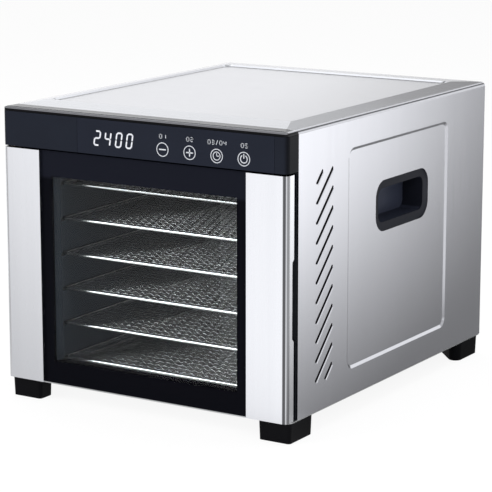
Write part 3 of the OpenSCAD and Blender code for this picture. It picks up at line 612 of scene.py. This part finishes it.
tinted(fascia_black, fascia_shade)
matt_black = moulded(
    "matt_black", (0.0018, 0.0018, 0.0026), (0.0026, 0.0026, 0.0038), 0.45, 0.55, 0.3, 0.07
)
dress(
    matt_black, "foot_front_left", "foot_front_right", "foot_rear_left", "foot_rear_right",
    "cord_gland", "thermal_cutout",
)
handle_black = moulded(
    "handle_black", (0.036, 0.042, 0.066), (0.043, 0.050, 0.078), 0.38, 0.46, 0.15, 0.1
)
dress(handle_black, "handle_left", "handle_right")
BEZEL_IN = (0.0062, 0.0052)
BEZEL_SHADE = 0.8
FAR_WALL_FACING = (-0.4, -0.7)
FAR_WALL_SHADE = 0.85
FLOOR_FACING = (0.4, 0.7)
FLOOR_SHADE = 0.55


def handle_shade(tree, place, facing):
    """The bezel is painted darker than the cup, and the cup's floor and far wall get painted
    shade.
    """
    inward = inward_of(tree, place, WRAP_HIGH.x)
    bezel = product(tree, ramp(tree, inward, *BEZEL_IN), BEZEL_SHADE)
    far_wall = product(tree, ramp(tree, facing[1], *FAR_WALL_FACING), FAR_WALL_SHADE)
    floor = product(tree, ramp(tree, facing[2], *FLOOR_FACING), FLOOR_SHADE)
    return most(tree, bezel, far_wall, floor)


tinted(handle_black, handle_shade)
rack_grey = moulded(
    "rack_grey", (0.020, 0.025, 0.034), (0.027, 0.033, 0.043), 0.4, 0.5, 0.2, 0.4
)
dress(rack_grey, "tray_rack_left", "tray_rack_right")
door_black = moulded(
    "door_black", (0.0016, 0.0018, 0.0034), (0.0021, 0.0023, 0.0042), 0.3, 0.36, 0.02, 0.0
)
dress(door_black, "door_frame", "door_inner_trim")
REVEAL_X = (0.140, 0.139)
REVEAL_SIDEWAYS = (0.4, 0.6)


def painted_reveal_light(tree, place, facing):
    """Painted light on the window's side walls, as if lit behind the glass."""
    inside = ramp(tree, calc(tree, "ABSOLUTE", place[0]), *REVEAL_X)
    sideways = calc(tree, "ABSOLUTE", facing[0])
    return product(tree, inside, ramp(tree, sideways, *REVEAL_SIDEWAYS))


tinted(door_black, painted_reveal_light, (0.034, 0.040, 0.050))
seal_black = moulded("seal_black", (0.01, 0.01, 0.011), (0.014, 0.014, 0.015), 0.7, 0.8, 0.3)
dress(seal_black, "door_seal")

# --- touch panel and what shines or is printed on it ---
# A polished blue-black strip with four round keys. The clock's digits shine through it, and the
# rings and signs are printed. Places are x and z; arcs are in degrees.
PANEL_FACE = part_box("touch_panel")[0].y
PRINT_T = 0.00012
PRINT_SUNK = 0.00002
DIGIT_H = 0.0158
DIGIT_W = 0.0080
DIGIT_STROKE = 0.0016
DIGIT_SLANT = 0.16
DIGITS = (("2", -0.0508), ("4", -0.0380), ("0", -0.0245), ("0", -0.0116))
DIGIT_Z = 0.2863
KEYS = ((0.0280, 0.2815), (0.0599, 0.2811), (0.0913, 0.2807), (0.1224, 0.2804))
KEY_R = 0.0071
RING_W = 0.00085
RING_STEPS = 48
MINUS, PLUS, CLOCK, POWER = range(4)
SIGN_BARS = (
    # key, start and end from its centre, width
    (MINUS, (-0.0036, 0.0), (0.0036, 0.0), 0.0012),
    (PLUS, (-0.0036, 0.0), (0.0036, 0.0), 0.0012),
    (PLUS, (0.0, -0.0034), (0.0, 0.0034), 0.0012),
    (CLOCK, (0.0, 0.0), (0.0, 0.0026), 0.0008),
    (CLOCK, (0.0, 0.0), (0.0022, 0.0), 0.0008),
    (POWER, (0.0, 0.0008), (0.0, 0.0048), 0.0010),
)
SIGN_ARCS = (
    # key, radius, start, end, steps, width
    (CLOCK, 0.0040, 0, 352, 24, 0.0008),
    (POWER, 0.0038, 125, 415, 20, 0.0010),
)
LABELS = (
    ("01", 0.0282, 0.2946), ("02", 0.0602, 0.2943), ("03/04", 0.0917, 0.2939),
    ("05", 0.1230, 0.2935),
)
LABEL_H = 0.0046
LABEL_STEP = LABEL_H * 0.98
LABEL_SIZE = (LABEL_H * 0.62, LABEL_H * 0.86)
LABEL_STROKE = 0.0008
SLASH = (0.0009, 0.0022)
SLASH_STROKE = 0.0006
# the bars' cut corners and gaps, as parts of a figure's width, height and corner
FIGURE_CORNER = 0.24
FIGURE_GAP = 0.035
CORNER_GAP = 0.4
CAP_TURNS = (36, 72, 108, 144)
SEGMENTS = {
    "0": "abcdef", "1": "bc", "2": "abged", "3": "abgcd", "4": "fgbc", "5": "afgcd",
}


def stroke_outline(path, width):
    """Corners of a flat bar with round ends along a line of points."""
    left, right = [], []
    for i, point in enumerate(path):
        last = path[max(i - 1, 0)]
        after = path[min(i + 1, len(path) - 1)]
        along = (Vector(after) - Vector(last)).normalized()
        across = Vector((-along.y, along.x)) * width / 2
        left.append(Vector(point) + across)
        right.append(Vector(point) - across)
    start = (Vector(path[0]) - Vector(path[1])).normalized()
    end = (Vector(path[-1]) - Vector(path[-2])).normalized()

    def cap(centre, outward):
        side = Vector((outward.y, -outward.x))
        return [
            Vector(centre) + (side * math.cos(t) + outward * math.sin(t)) * width / 2
            for t in (math.radians(a) for a in CAP_TURNS)
        ]

    return right + cap(path[-1], end) + left[::-1] + cap(path[0], start)


def print_shapes(name, outlines, finish):
    """Thin raised print on the panel: each outline, in x and z, becomes a closed slab."""
    mesh = bpy.data.meshes.new(name)
    build = bmesh.new()
    for outline in outlines:
        front = [build.verts.new((x, PANEL_FACE - PRINT_T, z)) for x, z in outline]
        rear = [build.verts.new((x, PANEL_FACE + PRINT_SUNK, z)) for x, z in outline]
        build.faces.new(front)
        build.faces.new(rear[::-1])
        for i in range(len(outline)):
            j = (i + 1) % len(outline)
            build.faces.new((front[i], rear[i], rear[j], front[j]))
    bmesh.ops.recalc_face_normals(build, faces=build.faces)
    build.to_mesh(mesh)
    build.free()
    mesh.materials.append(finish)
    piece = bpy.data.objects.new(name, mesh)
    bpy.context.collection.objects.link(piece)
    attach(piece, "cabinet")


def segment_paths(figure, x, z, width, height, slant):
    """Centre lines of a figure's lit bars; neighbouring bars meet at the corners."""
    w, h = width / 2, height / 2
    corner = width * FIGURE_CORNER
    inner = height * FIGURE_GAP + corner * CORNER_GAP
    flat = {"a": h, "g": 0.0, "d": -h}
    lines = {s: [(-w + corner, v), (w - corner, v)] for s, v in flat.items()}
    for s, side, up in (("f", -1, 1), ("b", 1, 1), ("e", -1, -1), ("c", 1, -1)):
        outer_end, inner_end = (side * w, up * (h - corner)), (side * w, up * inner)
        lines[s] = [outer_end, inner_end]
        for other, end in (("a" if up > 0 else "d", outer_end), ("g", inner_end)):
            lines[other + s] = [(side * (w - corner), flat[other]), end]
    lit = SEGMENTS[figure]
    return [
        [(x + u + slant * v, z + v) for u, v in path]
        for bars, path in lines.items()
        if all(bar in lit for bar in bars) and figure + bars != "4gb"
    ]


def arc(x, z, radius, start, end, steps):
    turns = [math.radians(start + (end - start) * i / steps) for i in range(steps + 1)]
    return [(x + radius * math.cos(turn), z + radius * math.sin(turn)) for turn in turns]


panel_gloss = moulded(
    "panel_gloss", (0.0115, 0.0140, 0.0225), (0.0130, 0.0155, 0.0250), 0.16, 0.2, 0.01, 0.05
)
dress(panel_gloss, "touch_panel")

DIGIT_PATCHES = 500.0
DIGIT_LIGHT = 0.5
PRINT_PATCHES = 700.0
digit_glow, digit_tree, digit_body, digit_place = new_finish("digit_glow")
flicker = noise_of(digit_tree, digit_place, DIGIT_PATCHES)
feed(digit_tree, digit_body, {
    "Base Color": (0.4, 0.4, 0.42, 1.0),
    "Emission Color": shade_by(digit_tree, flicker, (0.72, 0.74, 0.8), (0.86, 0.88, 0.93)),
    "Emission Strength": DIGIT_LIGHT,
})

print_grey, print_tree, print_body, print_place = new_finish("print_grey")
print_wear = noise_of(print_tree, print_place, PRINT_PATCHES)
feed(print_tree, print_body, {
    "Base Color": shade_by(print_tree, print_wear, (0.50, 0.52, 0.56), (0.62, 0.64, 0.68)),
    "Roughness": 0.5,
})

digit_bars = [
    stroke_outline(path, DIGIT_STROKE)
    for figure, x in DIGITS
    for path in segment_paths(
        figure, x, DIGIT_Z, DIGIT_W - DIGIT_STROKE, DIGIT_H - DIGIT_STROKE, DIGIT_SLANT
    )
]
print_shapes("clock_digits", digit_bars, digit_glow)

signs = []
ring_middle = KEY_R - RING_W / 2
ring_half = ring_middle * RING_W / 2 / KEY_R
for x, z in KEYS:
    inner = arc(x, z, ring_middle - ring_half, 0, 360, RING_STEPS)
    outer = arc(x, z, ring_middle + ring_half, 0, 360, RING_STEPS)
    for i in range(RING_STEPS):
        signs.append([outer[i], outer[i + 1], inner[i + 1], inner[i]])
for key, start, end, width in SIGN_BARS:
    x, z = KEYS[key]
    ends = [(x + u, z + v) for u, v in (start, end)]
    signs.append(stroke_outline(ends, width))
for key, radius, start, end, steps, width in SIGN_ARCS:
    signs.append(stroke_outline(arc(*KEYS[key], radius, start, end, steps), width))
for text, x, z in LABELS:
    for i, figure in enumerate(text):
        at = x + (i - (len(text) - 1) / 2) * LABEL_STEP
        if figure == "/":
            ends = [(at + side * SLASH[0], z + side * SLASH[1]) for side in (-1, 1)]
            signs.append(stroke_outline(ends, SLASH_STROKE))
            continue
        for path in segment_paths(figure, at, z, *LABEL_SIZE, 0.0):
            signs.append(stroke_outline(path, LABEL_STROKE))
print_shapes("key_prints", signs, print_grey)

# --- door ---
# A pane of tempered glass in a black moulded frame, between two folded strips of brushed steel.
# The pane's border round the window is enamelled black, a little lighter along the head.
GLASS_TINT = (0.93, 0.96, 0.97, 1.0)
GLASS_IOR = 1.18
STREAK_SCALE, STREAK_DETAIL = 9.0, 3.0
STREAKS = (0.5, 0.9)
STREAK_ROUGH = 0.012
PANE_LOW, PANE_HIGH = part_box("door_glass")
WINDOW_HALF = 0.1120
SILL_Z = PANE_LOW.z + 0.0234
HEAD_Z = PANE_HIGH.z - 0.0266
BORDER_SOFT = 0.0001
HEAD_FADE = (HEAD_Z - 0.006, HEAD_Z + 0.003)
glass_pane, glass_tree, glass_body, glass_place = new_finish("clear_glass")
streaks = noise_of(glass_tree, glass_place, STREAK_SCALE, STREAK_DETAIL)
feed(glass_tree, glass_body, {
    "Base Color": GLASS_TINT,
    "Transmission Weight": 1.0,
    "IOR": GLASS_IOR,
    "Roughness": spread_of(glass_tree, streaks, *STREAKS, 0.0, STREAK_ROUGH),
})
lamp_path = add(glass_tree, "ShaderNodeLightPath", {})
lamp_rays = most(glass_tree, lamp_path["Is Shadow Ray"], lamp_path["Is Diffuse Ray"])
lamp_clear = add(glass_tree, "ShaderNodeBsdfTransparent", {"Color": GLASS_TINT})
window = mix_shaders(glass_tree, lamp_rays, glass_body.outputs[0], lamp_clear[0])
pane_x, _, pane_z = axes_of(glass_tree, glass_place)
pane_x = calc(glass_tree, "ABSOLUTE", pane_x)
border = most(
    glass_tree,
    ramp(glass_tree, pane_x, WINDOW_HALF, WINDOW_HALF + BORDER_SOFT),
    ramp(glass_tree, pane_z, SILL_Z, SILL_Z - BORDER_SOFT),
    ramp(glass_tree, pane_z, HEAD_Z, HEAD_Z + BORDER_SOFT),
)
head_share = ramp(glass_tree, pane_z, *HEAD_FADE)
enamel = add(glass_tree, "ShaderNodeBsdfDiffuse", {
    "Color": shade_by(glass_tree, head_share, (0.0042, 0.0044, 0.0064), (0.0095, 0.0104, 0.0158)),
})
feed(glass_tree, glass_tree.nodes["Material Output"], {
    "Surface": mix_shaders(glass_tree, border, window, enamel[0]),
})
dress(glass_pane, "door_glass")

strip_steel = brushed_metal(
    "strip_steel", ACROSS_X, (0.76, 0.77, 0.81), (0.78, 0.79, 0.83), 0.22, 0.28, 0.08
)
dress(strip_steel, "door_strip_left", "door_strip_right")
# painted reflections: dark lines down the rounded corners, inward from the side or back from the
# front
STRIP_LOW, STRIP_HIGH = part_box("door_strip_right")
AT_RIGHT = (-0.001, 0.001)
FRONT_LINE_IN = (0.0024, 0.0044, 0.0009)
FRONT_LINE_SHADE = 0.88
FLANK_LINE_BACK = (0.0026, 0.0046, 0.0016)
FLANK_LINE_IN = (0.0018, 0.0014)
FLANK_LINE_SHADE = 0.75
LEFT_LINE_IN = (-0.0010, 0.0020, 0.0008)
LEFT_LINE_SHADE = 0.82


def painted_strip_reflections(tree, place, facing):
    """Painted reflections: two dark lines down the right corner, and one on the left corner."""
    inward = inward_of(tree, place, STRIP_HIGH.x)
    back = calc(tree, "SUBTRACT", place[1], STRIP_LOW.y)
    front_line = product(tree, band_mask(tree, inward, *FRONT_LINE_IN), FRONT_LINE_SHADE)
    flank_line = product(
        tree, band_mask(tree, back, *FLANK_LINE_BACK), ramp(tree, inward, *FLANK_LINE_IN),
        FLANK_LINE_SHADE,
    )
    right = product(
        tree, ramp(tree, place[0], *AT_RIGHT), most(tree, front_line, flank_line)
    )
    left = product(
        tree, ramp(tree, place[0], *AT_RIGHT[::-1]), band_mask(tree, inward, *LEFT_LINE_IN),
        LEFT_LINE_SHADE,
    )
    return most(tree, right, left)


tinted(strip_steel, painted_strip_reflections)

# --- polished wire, screws and small turned parts ---
# Electropolished stainless: bright, with a faint drawn grain.
polished = brushed_metal(
    "polished_wire", ACROSS_ALL, (0.78, 0.78, 0.78), (0.86, 0.86, 0.86), 0.16, 0.26, 0.1
)
dress(
    polished, "drip_tray", "back_screws", "foot_screws", "guard_screws", "hinge_pins",
    "fan_shaft", "board_standoffs",
)

# --- six mesh trays ---
# A rim of 3.5 mm wire bent round at the corners, with a woven stainless mesh welded inside it.
# Every wire of the mesh goes over one and under the next.
MESH_PITCH_X = 0.0045
MESH_PITCH_Y = 0.0120
MESH_WIRE = 0.00036
MESH_WAVE = 0.0010
MESH_SIDES = 3
MESH_MARGIN = 0.0004
RIM_WIRE = 0.00175
RIM_BEND = 0.005
RIM_BEND_STEPS = 10
RIM_SIDES = 20
mesh_steel = brushed_metal(
    "mesh_steel", ACROSS_ALL, (0.66, 0.66, 0.67), (0.78, 0.78, 0.79), 0.12, 0.2, 0.1
)
tray_tree, tray_in, tray_out = new_group(
    "woven_tray", "GeometryNodeTree",
    [
        ("Geometry", "Geometry", None), ("Width", "Float", 0.24), ("Depth", "Float", 0.3),
        ("Pitch X", "Float", MESH_PITCH_X), ("Pitch Y", "Float", MESH_PITCH_Y),
        ("Wire Radius", "Float", MESH_WIRE), ("Wave", "Float", MESH_WAVE),
        ("Rim Radius", "Float", RIM_WIRE), ("Bend", "Float", RIM_BEND),
        ("Centre", "Vector", None), ("Steel", "Material", None),
        ("Mesh Steel", "Material", None),
    ],
    [("Geometry", "Geometry")],
)
# length, pitch and unit vector of the tray's two directions
ACROSS_TRAY = (tray_in["Width"], tray_in["Pitch X"], (1, 0, 0))
INTO_TRAY = (tray_in["Depth"], tray_in["Pitch Y"], (0, 1, 0))


def vector_of(tree, x, y, z):
    return add(tree, "ShaderNodeCombineXYZ", {0: x, 1: y, 2: z})[0]


def joined(tree, *parts):
    """Several geometries as one."""
    join = tree.nodes.new("GeometryNodeJoinGeometry")
    for part in parts:
        feed(tree, join, {"Geometry": part})
    return join.outputs["Geometry"]


def woven_wires(along, across, over):
    """The wires that run along one direction; over is 1 or -1, for the sign of their wave."""
    tree = tray_tree

    def directed(value, way):
        return vector_of(tree, *[value if part else 0.0 for part in way])

    def cells_of(length, pitch):
        return calc(tree, "ROUND", calc(tree, "DIVIDE", length, pitch))

    length, pitch, way = along
    width, step, step_way = across
    half = product(tree, length, 0.5)
    line = add(tree, "GeometryNodeCurvePrimitiveLine", {
        "Start": directed(product(tree, half, -1.0), way), "End": directed(half, way),
    })
    knots = add(tree, "GeometryNodeResampleCurve", {
        "Curve": line["Curve"], "Count": calc(tree, "ADD", cells_of(length, pitch), 1.0),
    })
    rows = calc(tree, "SUBTRACT", cells_of(width, step), 1.0)
    first = product(tree, calc(tree, "SUBTRACT", rows, 1.0), step, -0.5)
    places = add(tree, "GeometryNodeMeshLine", {
        "Count": rows, "Start Location": directed(first, step_way),
        "Offset": directed(step, step_way),
    })
    copies = add(tree, "GeometryNodeInstanceOnPoints", {
        "Points": places["Mesh"], "Instance": knots["Curve"],
    })
    real = add(tree, "GeometryNodeRealizeInstances", {"Geometry": copies["Instances"]})
    # over one, under the next: the wave's sign is a checkerboard of the crossings
    position = axes_of(tree, add(tree, "GeometryNodeInputPosition", {})[0])
    cells, outside = [], []
    for i, (size, cell, _) in enumerate((ACROSS_TRAY, INTO_TRAY)):
        half_size = product(tree, size, 0.5)
        cells.append(cells_of(calc(tree, "ADD", position[i], half_size), cell))
        straight = calc(tree, "SUBTRACT", half_size, tray_in["Bend"])
        past = calc(tree, "SUBTRACT", calc(tree, "ABSOLUTE", position[i]), straight)
        outside.append(calc(tree, "POWER", most(tree, past, 0.0), 2.0))
    parity = calc(tree, "FLOORED_MODULO", calc(tree, "ADD", *cells), 2.0)
    sign = calc(tree, "SUBTRACT", product(tree, parity, 2.0), 1.0)
    lift = product(tree, sign, tray_in["Wave"], over)
    bend = add(tree, "GeometryNodeSetPosition", {
        "Geometry": real["Geometry"], "Offset": vector_of(tree, 0.0, 0.0, lift),
    })
    # the mesh is cut round at the rim's corners
    reach = calc(tree, "SQRT", calc(tree, "ADD", *outside))
    limit = calc(tree, "ADD", tray_in["Bend"], MESH_MARGIN)
    cut = add(tree, "GeometryNodeDeleteGeometry", {
        "Geometry": bend["Geometry"], "Selection": calc(tree, "GREATER_THAN", reach, limit),
    })
    profile = add(tree, "GeometryNodeCurvePrimitiveCircle", {
        "Resolution": MESH_SIDES, "Radius": tray_in["Wire Radius"],
    })
    return add(tree, "GeometryNodeCurveToMesh", {
        "Curve": cut["Geometry"], "Profile Curve": profile["Curve"], "Fill Caps": True,
    })["Mesh"]


mesh_wires = joined(
    tray_tree, woven_wires(ACROSS_TRAY, INTO_TRAY, 1.0), woven_wires(INTO_TRAY, ACROSS_TRAY, -1.0)
)
rim_path = add(tray_tree, "GeometryNodeCurvePrimitiveQuadrilateral", {
    "Width": tray_in["Width"], "Height": tray_in["Depth"],
})
rim_round = tray_tree.nodes.new("GeometryNodeFilletCurve")
rim_round.mode = "POLY"
rim_bent = feed(tray_tree, rim_round, {
    "Count": RIM_BEND_STEPS, "Curve": rim_path["Curve"], "Radius": tray_in["Bend"],
})
rim_profile = add(tray_tree, "GeometryNodeCurvePrimitiveCircle", {
    "Resolution": RIM_SIDES, "Radius": tray_in["Rim Radius"],
})
rim_tube = add(tray_tree, "GeometryNodeCurveToMesh", {
    "Curve": rim_bent["Curve"], "Profile Curve": rim_profile["Curve"],
})
rim = add(tray_tree, "GeometryNodeSetShadeSmooth", {"Geometry": rim_tube["Mesh"]})["Geometry"]
tray = joined(tray_tree, *[
    add(tray_tree, "GeometryNodeSetMaterial", {
        "Geometry": part, "Material": tray_in[finish],
    })["Geometry"]
    for part, finish in ((mesh_wires, "Mesh Steel"), (rim, "Steel"))
])
moved = add(tray_tree, "GeometryNodeTransform", {
    "Geometry": tray, "Translation": tray_in["Centre"],
})
tray_real = add(tray_tree, "GeometryNodeRealizeInstances", {"Geometry": moved["Geometry"]})
feed(tray_tree, tray_out, {"Geometry": tray_real["Geometry"]})


def grown(name, tree, values, finish, points=()):
    """The tree's result as a plain mesh object, with no modifier left."""
    seed_mesh = bpy.data.meshes.new(name + "_seed")
    seed_mesh.from_pydata([tuple(point) for point in points], [], [])
    seed = bpy.data.objects.new(name + "_seed", seed_mesh)
    bpy.context.collection.objects.link(seed)
    growth = seed.modifiers.new("growth", "NODES")
    growth.node_group = tree
    ids = {s.name: s.identifier for s in tree.interface.items_tree if s.in_out == "INPUT"}
    for title, value in values.items():
        growth[ids[title]] = value
    depsgraph = bpy.context.evaluated_depsgraph_get()
    mesh = bpy.data.meshes.new_from_object(seed.evaluated_get(depsgraph), depsgraph=depsgraph)
    seed.modifiers.remove(growth)
    bpy.data.objects.remove(seed)
    mesh.name = name
    if not mesh.materials:
        mesh.materials.append(finish)
    piece = bpy.data.objects.new(name, mesh)
    bpy.context.collection.objects.link(piece)
    return piece


for k in range(1, 7):
    low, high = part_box("tray_%d" % k)
    middle = (low + high) / 2
    woven = grown(
        "woven_tray_%d" % k,
        tray_tree,
        {
            "Width": high.x - low.x - 2 * RIM_WIRE,
            "Depth": high.y - low.y - 2 * RIM_WIRE,
            "Centre": tuple(middle),
            "Steel": polished,
            "Mesh Steel": mesh_steel,
        },
        polished,
    )
    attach(woven, "shelf_%d" % k)
    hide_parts("tray_%d" % k)

# --- screws ---
# Cross-recessed pan-head screws hold the back panel, the fan guard and the feet. The heads are
# pressed, with a domed top and a driver's cross, and each was driven to its own angle.
SHANK_R = 0.002
SHANK_SIDES = 20
HEAD_SIDES = 32
HEAD_RINGS = 16
CROSS_L = 0.0044
CROSS_W = 0.0010
CROSS_DEPTH = 0.0011
TURN_SEED = 7
MERGE_WITHIN = 0.00001
SCREWS = (
    # node, the way the heads look, head height
    ("back_screws", (0, 1, 0), 0.0022),
    ("guard_screws", (0, -1, 0), 0.0018),
    ("foot_screws", (0, 0, -1), 0.0026),
)

screw_tree, screw_in, screw_out = new_group(
    "pan_head_screw", "GeometryNodeTree",
    [
        ("Geometry", "Geometry", None), ("Head Radius", "Float", 0.004),
        ("Head Height", "Float", 0.0022), ("Shank Radius", "Float", SHANK_R),
        ("Shank Length", "Float", 0.009), ("Cross Length", "Float", CROSS_L),
        ("Cross Width", "Float", CROSS_W), ("Cross Depth", "Float", CROSS_DEPTH),
        ("Facing", "Rotation", None), ("Steel", "Material", None),
    ],
    [("Geometry", "Geometry")],
)
head_r, head_h = screw_in["Head Radius"], screw_in["Head Height"]
shank_l = screw_in["Shank Length"]
cross_l, cross_w = screw_in["Cross Length"], screw_in["Cross Width"]


def screw_solid(kind, sizes, lift, flatten=1.0):
    """A primitive of the screw, flattened and then raised along the screw's axis."""
    return add(screw_tree, "GeometryNodeTransform", {
        "Geometry": add(screw_tree, kind, sizes)["Mesh"],
        "Translation": vector_of(screw_tree, 0.0, 0.0, lift),
        "Scale": vector_of(screw_tree, 1.0, 1.0, flatten),
    })["Geometry"]


dome = screw_solid(
    "GeometryNodeMeshUVSphere",
    {"Segments": HEAD_SIDES, "Rings": HEAD_RINGS, "Radius": head_r},
    0.0,
    calc(screw_tree, "DIVIDE", head_h, head_r),
)
wide = product(screw_tree, head_r, 3.0)
cutters = [
    screw_solid(
        "GeometryNodeMeshCube", {"Size": vector_of(screw_tree, wide, wide, head_r)},
        product(screw_tree, head_r, -0.5),
    )
]
cut_depth = product(screw_tree, screw_in["Cross Depth"], 2.0)
for along, across in ((cross_l, cross_w), (cross_w, cross_l)):
    cutters.append(screw_solid(
        "GeometryNodeMeshCube", {"Size": vector_of(screw_tree, along, across, cut_depth)}, head_h
    ))
head = screw_tree.nodes.new("GeometryNodeMeshBoolean")
head.operation = "DIFFERENCE"
dome_smooth = add(screw_tree, "GeometryNodeSetShadeSmooth", {"Geometry": dome})
feed(screw_tree, head, {"Mesh 1": dome_smooth["Geometry"]})
for cutter in cutters:
    feed(screw_tree, head, {"Mesh 2": cutter})
shank = screw_solid(
    "GeometryNodeMeshCylinder",
    {"Vertices": SHANK_SIDES, "Radius": screw_in["Shank Radius"], "Depth": shank_l},
    product(screw_tree, shank_l, -0.5),
)
screw_set = add(screw_tree, "GeometryNodeInstanceOnPoints", {
    "Points": screw_in["Geometry"],
    "Instance": joined(screw_tree, head.outputs["Mesh"], shank),
    "Rotation": screw_in["Facing"],
})
driven = add(screw_tree, "FunctionNodeRandomValue", {3: math.pi / 2, "Seed": TURN_SEED})
screw_turn = add(screw_tree, "GeometryNodeRotateInstances", {
    "Instances": screw_set["Instances"], "Rotation": vector_of(screw_tree, 0.0, 0.0, driven[1]),
})
screw_real = add(
    screw_tree, "GeometryNodeRealizeInstances", {"Geometry": screw_turn["Instances"]}
)
screw_steel = add(screw_tree, "GeometryNodeSetMaterial", {
    "Geometry": screw_real["Geometry"], "Material": screw_in["Steel"],
})
feed(screw_tree, screw_out, {"Geometry": screw_steel["Geometry"]})


def loose_solids(node_name):
    """The lowest and highest corners of each separate solid in a node."""
    build = bmesh.new()
    build.from_mesh(NODES[node_name].data)
    bmesh.ops.remove_doubles(build, verts=build.verts, dist=MERGE_WITHIN)
    solids, seen = [], set()
    for start in build.verts:
        if start in seen:
            continue
        group, edge = [], [start]
        seen.add(start)
        while edge:
            corner = edge.pop()
            group.append(corner.co.copy())
            for line in corner.link_edges:
                other = line.other_vert(corner)
                if other not in seen:
                    seen.add(other)
                    edge.append(other)
        solids.append([Vector([f(c[i] for c in group) for i in range(3)]) for f in (min, max)])
    build.free()
    return solids


for node_name, way, height in SCREWS:
    way = Vector(way)
    k = [abs(part) for part in way].index(1)
    seats = []
    for low, high in loose_solids(node_name):
        seat = (low + high) / 2
        seat[k] = high[k] - height if way[k] > 0 else low[k] + height
        seats.append(seat)
    crossed = grown(
        node_name + "_crossed",
        screw_tree,
        {
            "Head Radius": (high[k - 1] - low[k - 1]) / 2,
            "Head Height": height,
            "Shank Length": high[k] - low[k] - height,
            "Facing": Vector((0, 0, 1)).rotation_difference(way).to_euler(),
            "Steel": polished,
        },
        polished,
        seats,
    )
    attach(crossed, "cabinet")
    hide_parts(node_name)

# --- fan, motor and boards ---
# Pressed aluminium fan on a steel shaft, a copper coil, bronze bearings and two green boards.
fan_metal = brushed_metal(
    "fan_metal", (300.0, 60.0, 300.0), (0.66, 0.67, 0.68), (0.74, 0.75, 0.76), 0.32, 0.45
)
dress(fan_metal, "fan_blades", "motor_rotor")
copper = brushed_metal(
    "copper", (60.0, 2200.0, 2200.0), (0.42, 0.17, 0.08), (0.56, 0.25, 0.12), 0.3, 0.42
)
dress(copper, "motor_coil", "motor_bearings", "door_bushes")
board_green = moulded(
    "board_green", (0.012, 0.07, 0.035), (0.02, 0.1, 0.05), 0.35, 0.45, 0.2
)
dress(board_green, "control_board", "power_board")
dress(panel_gloss, "display_module")
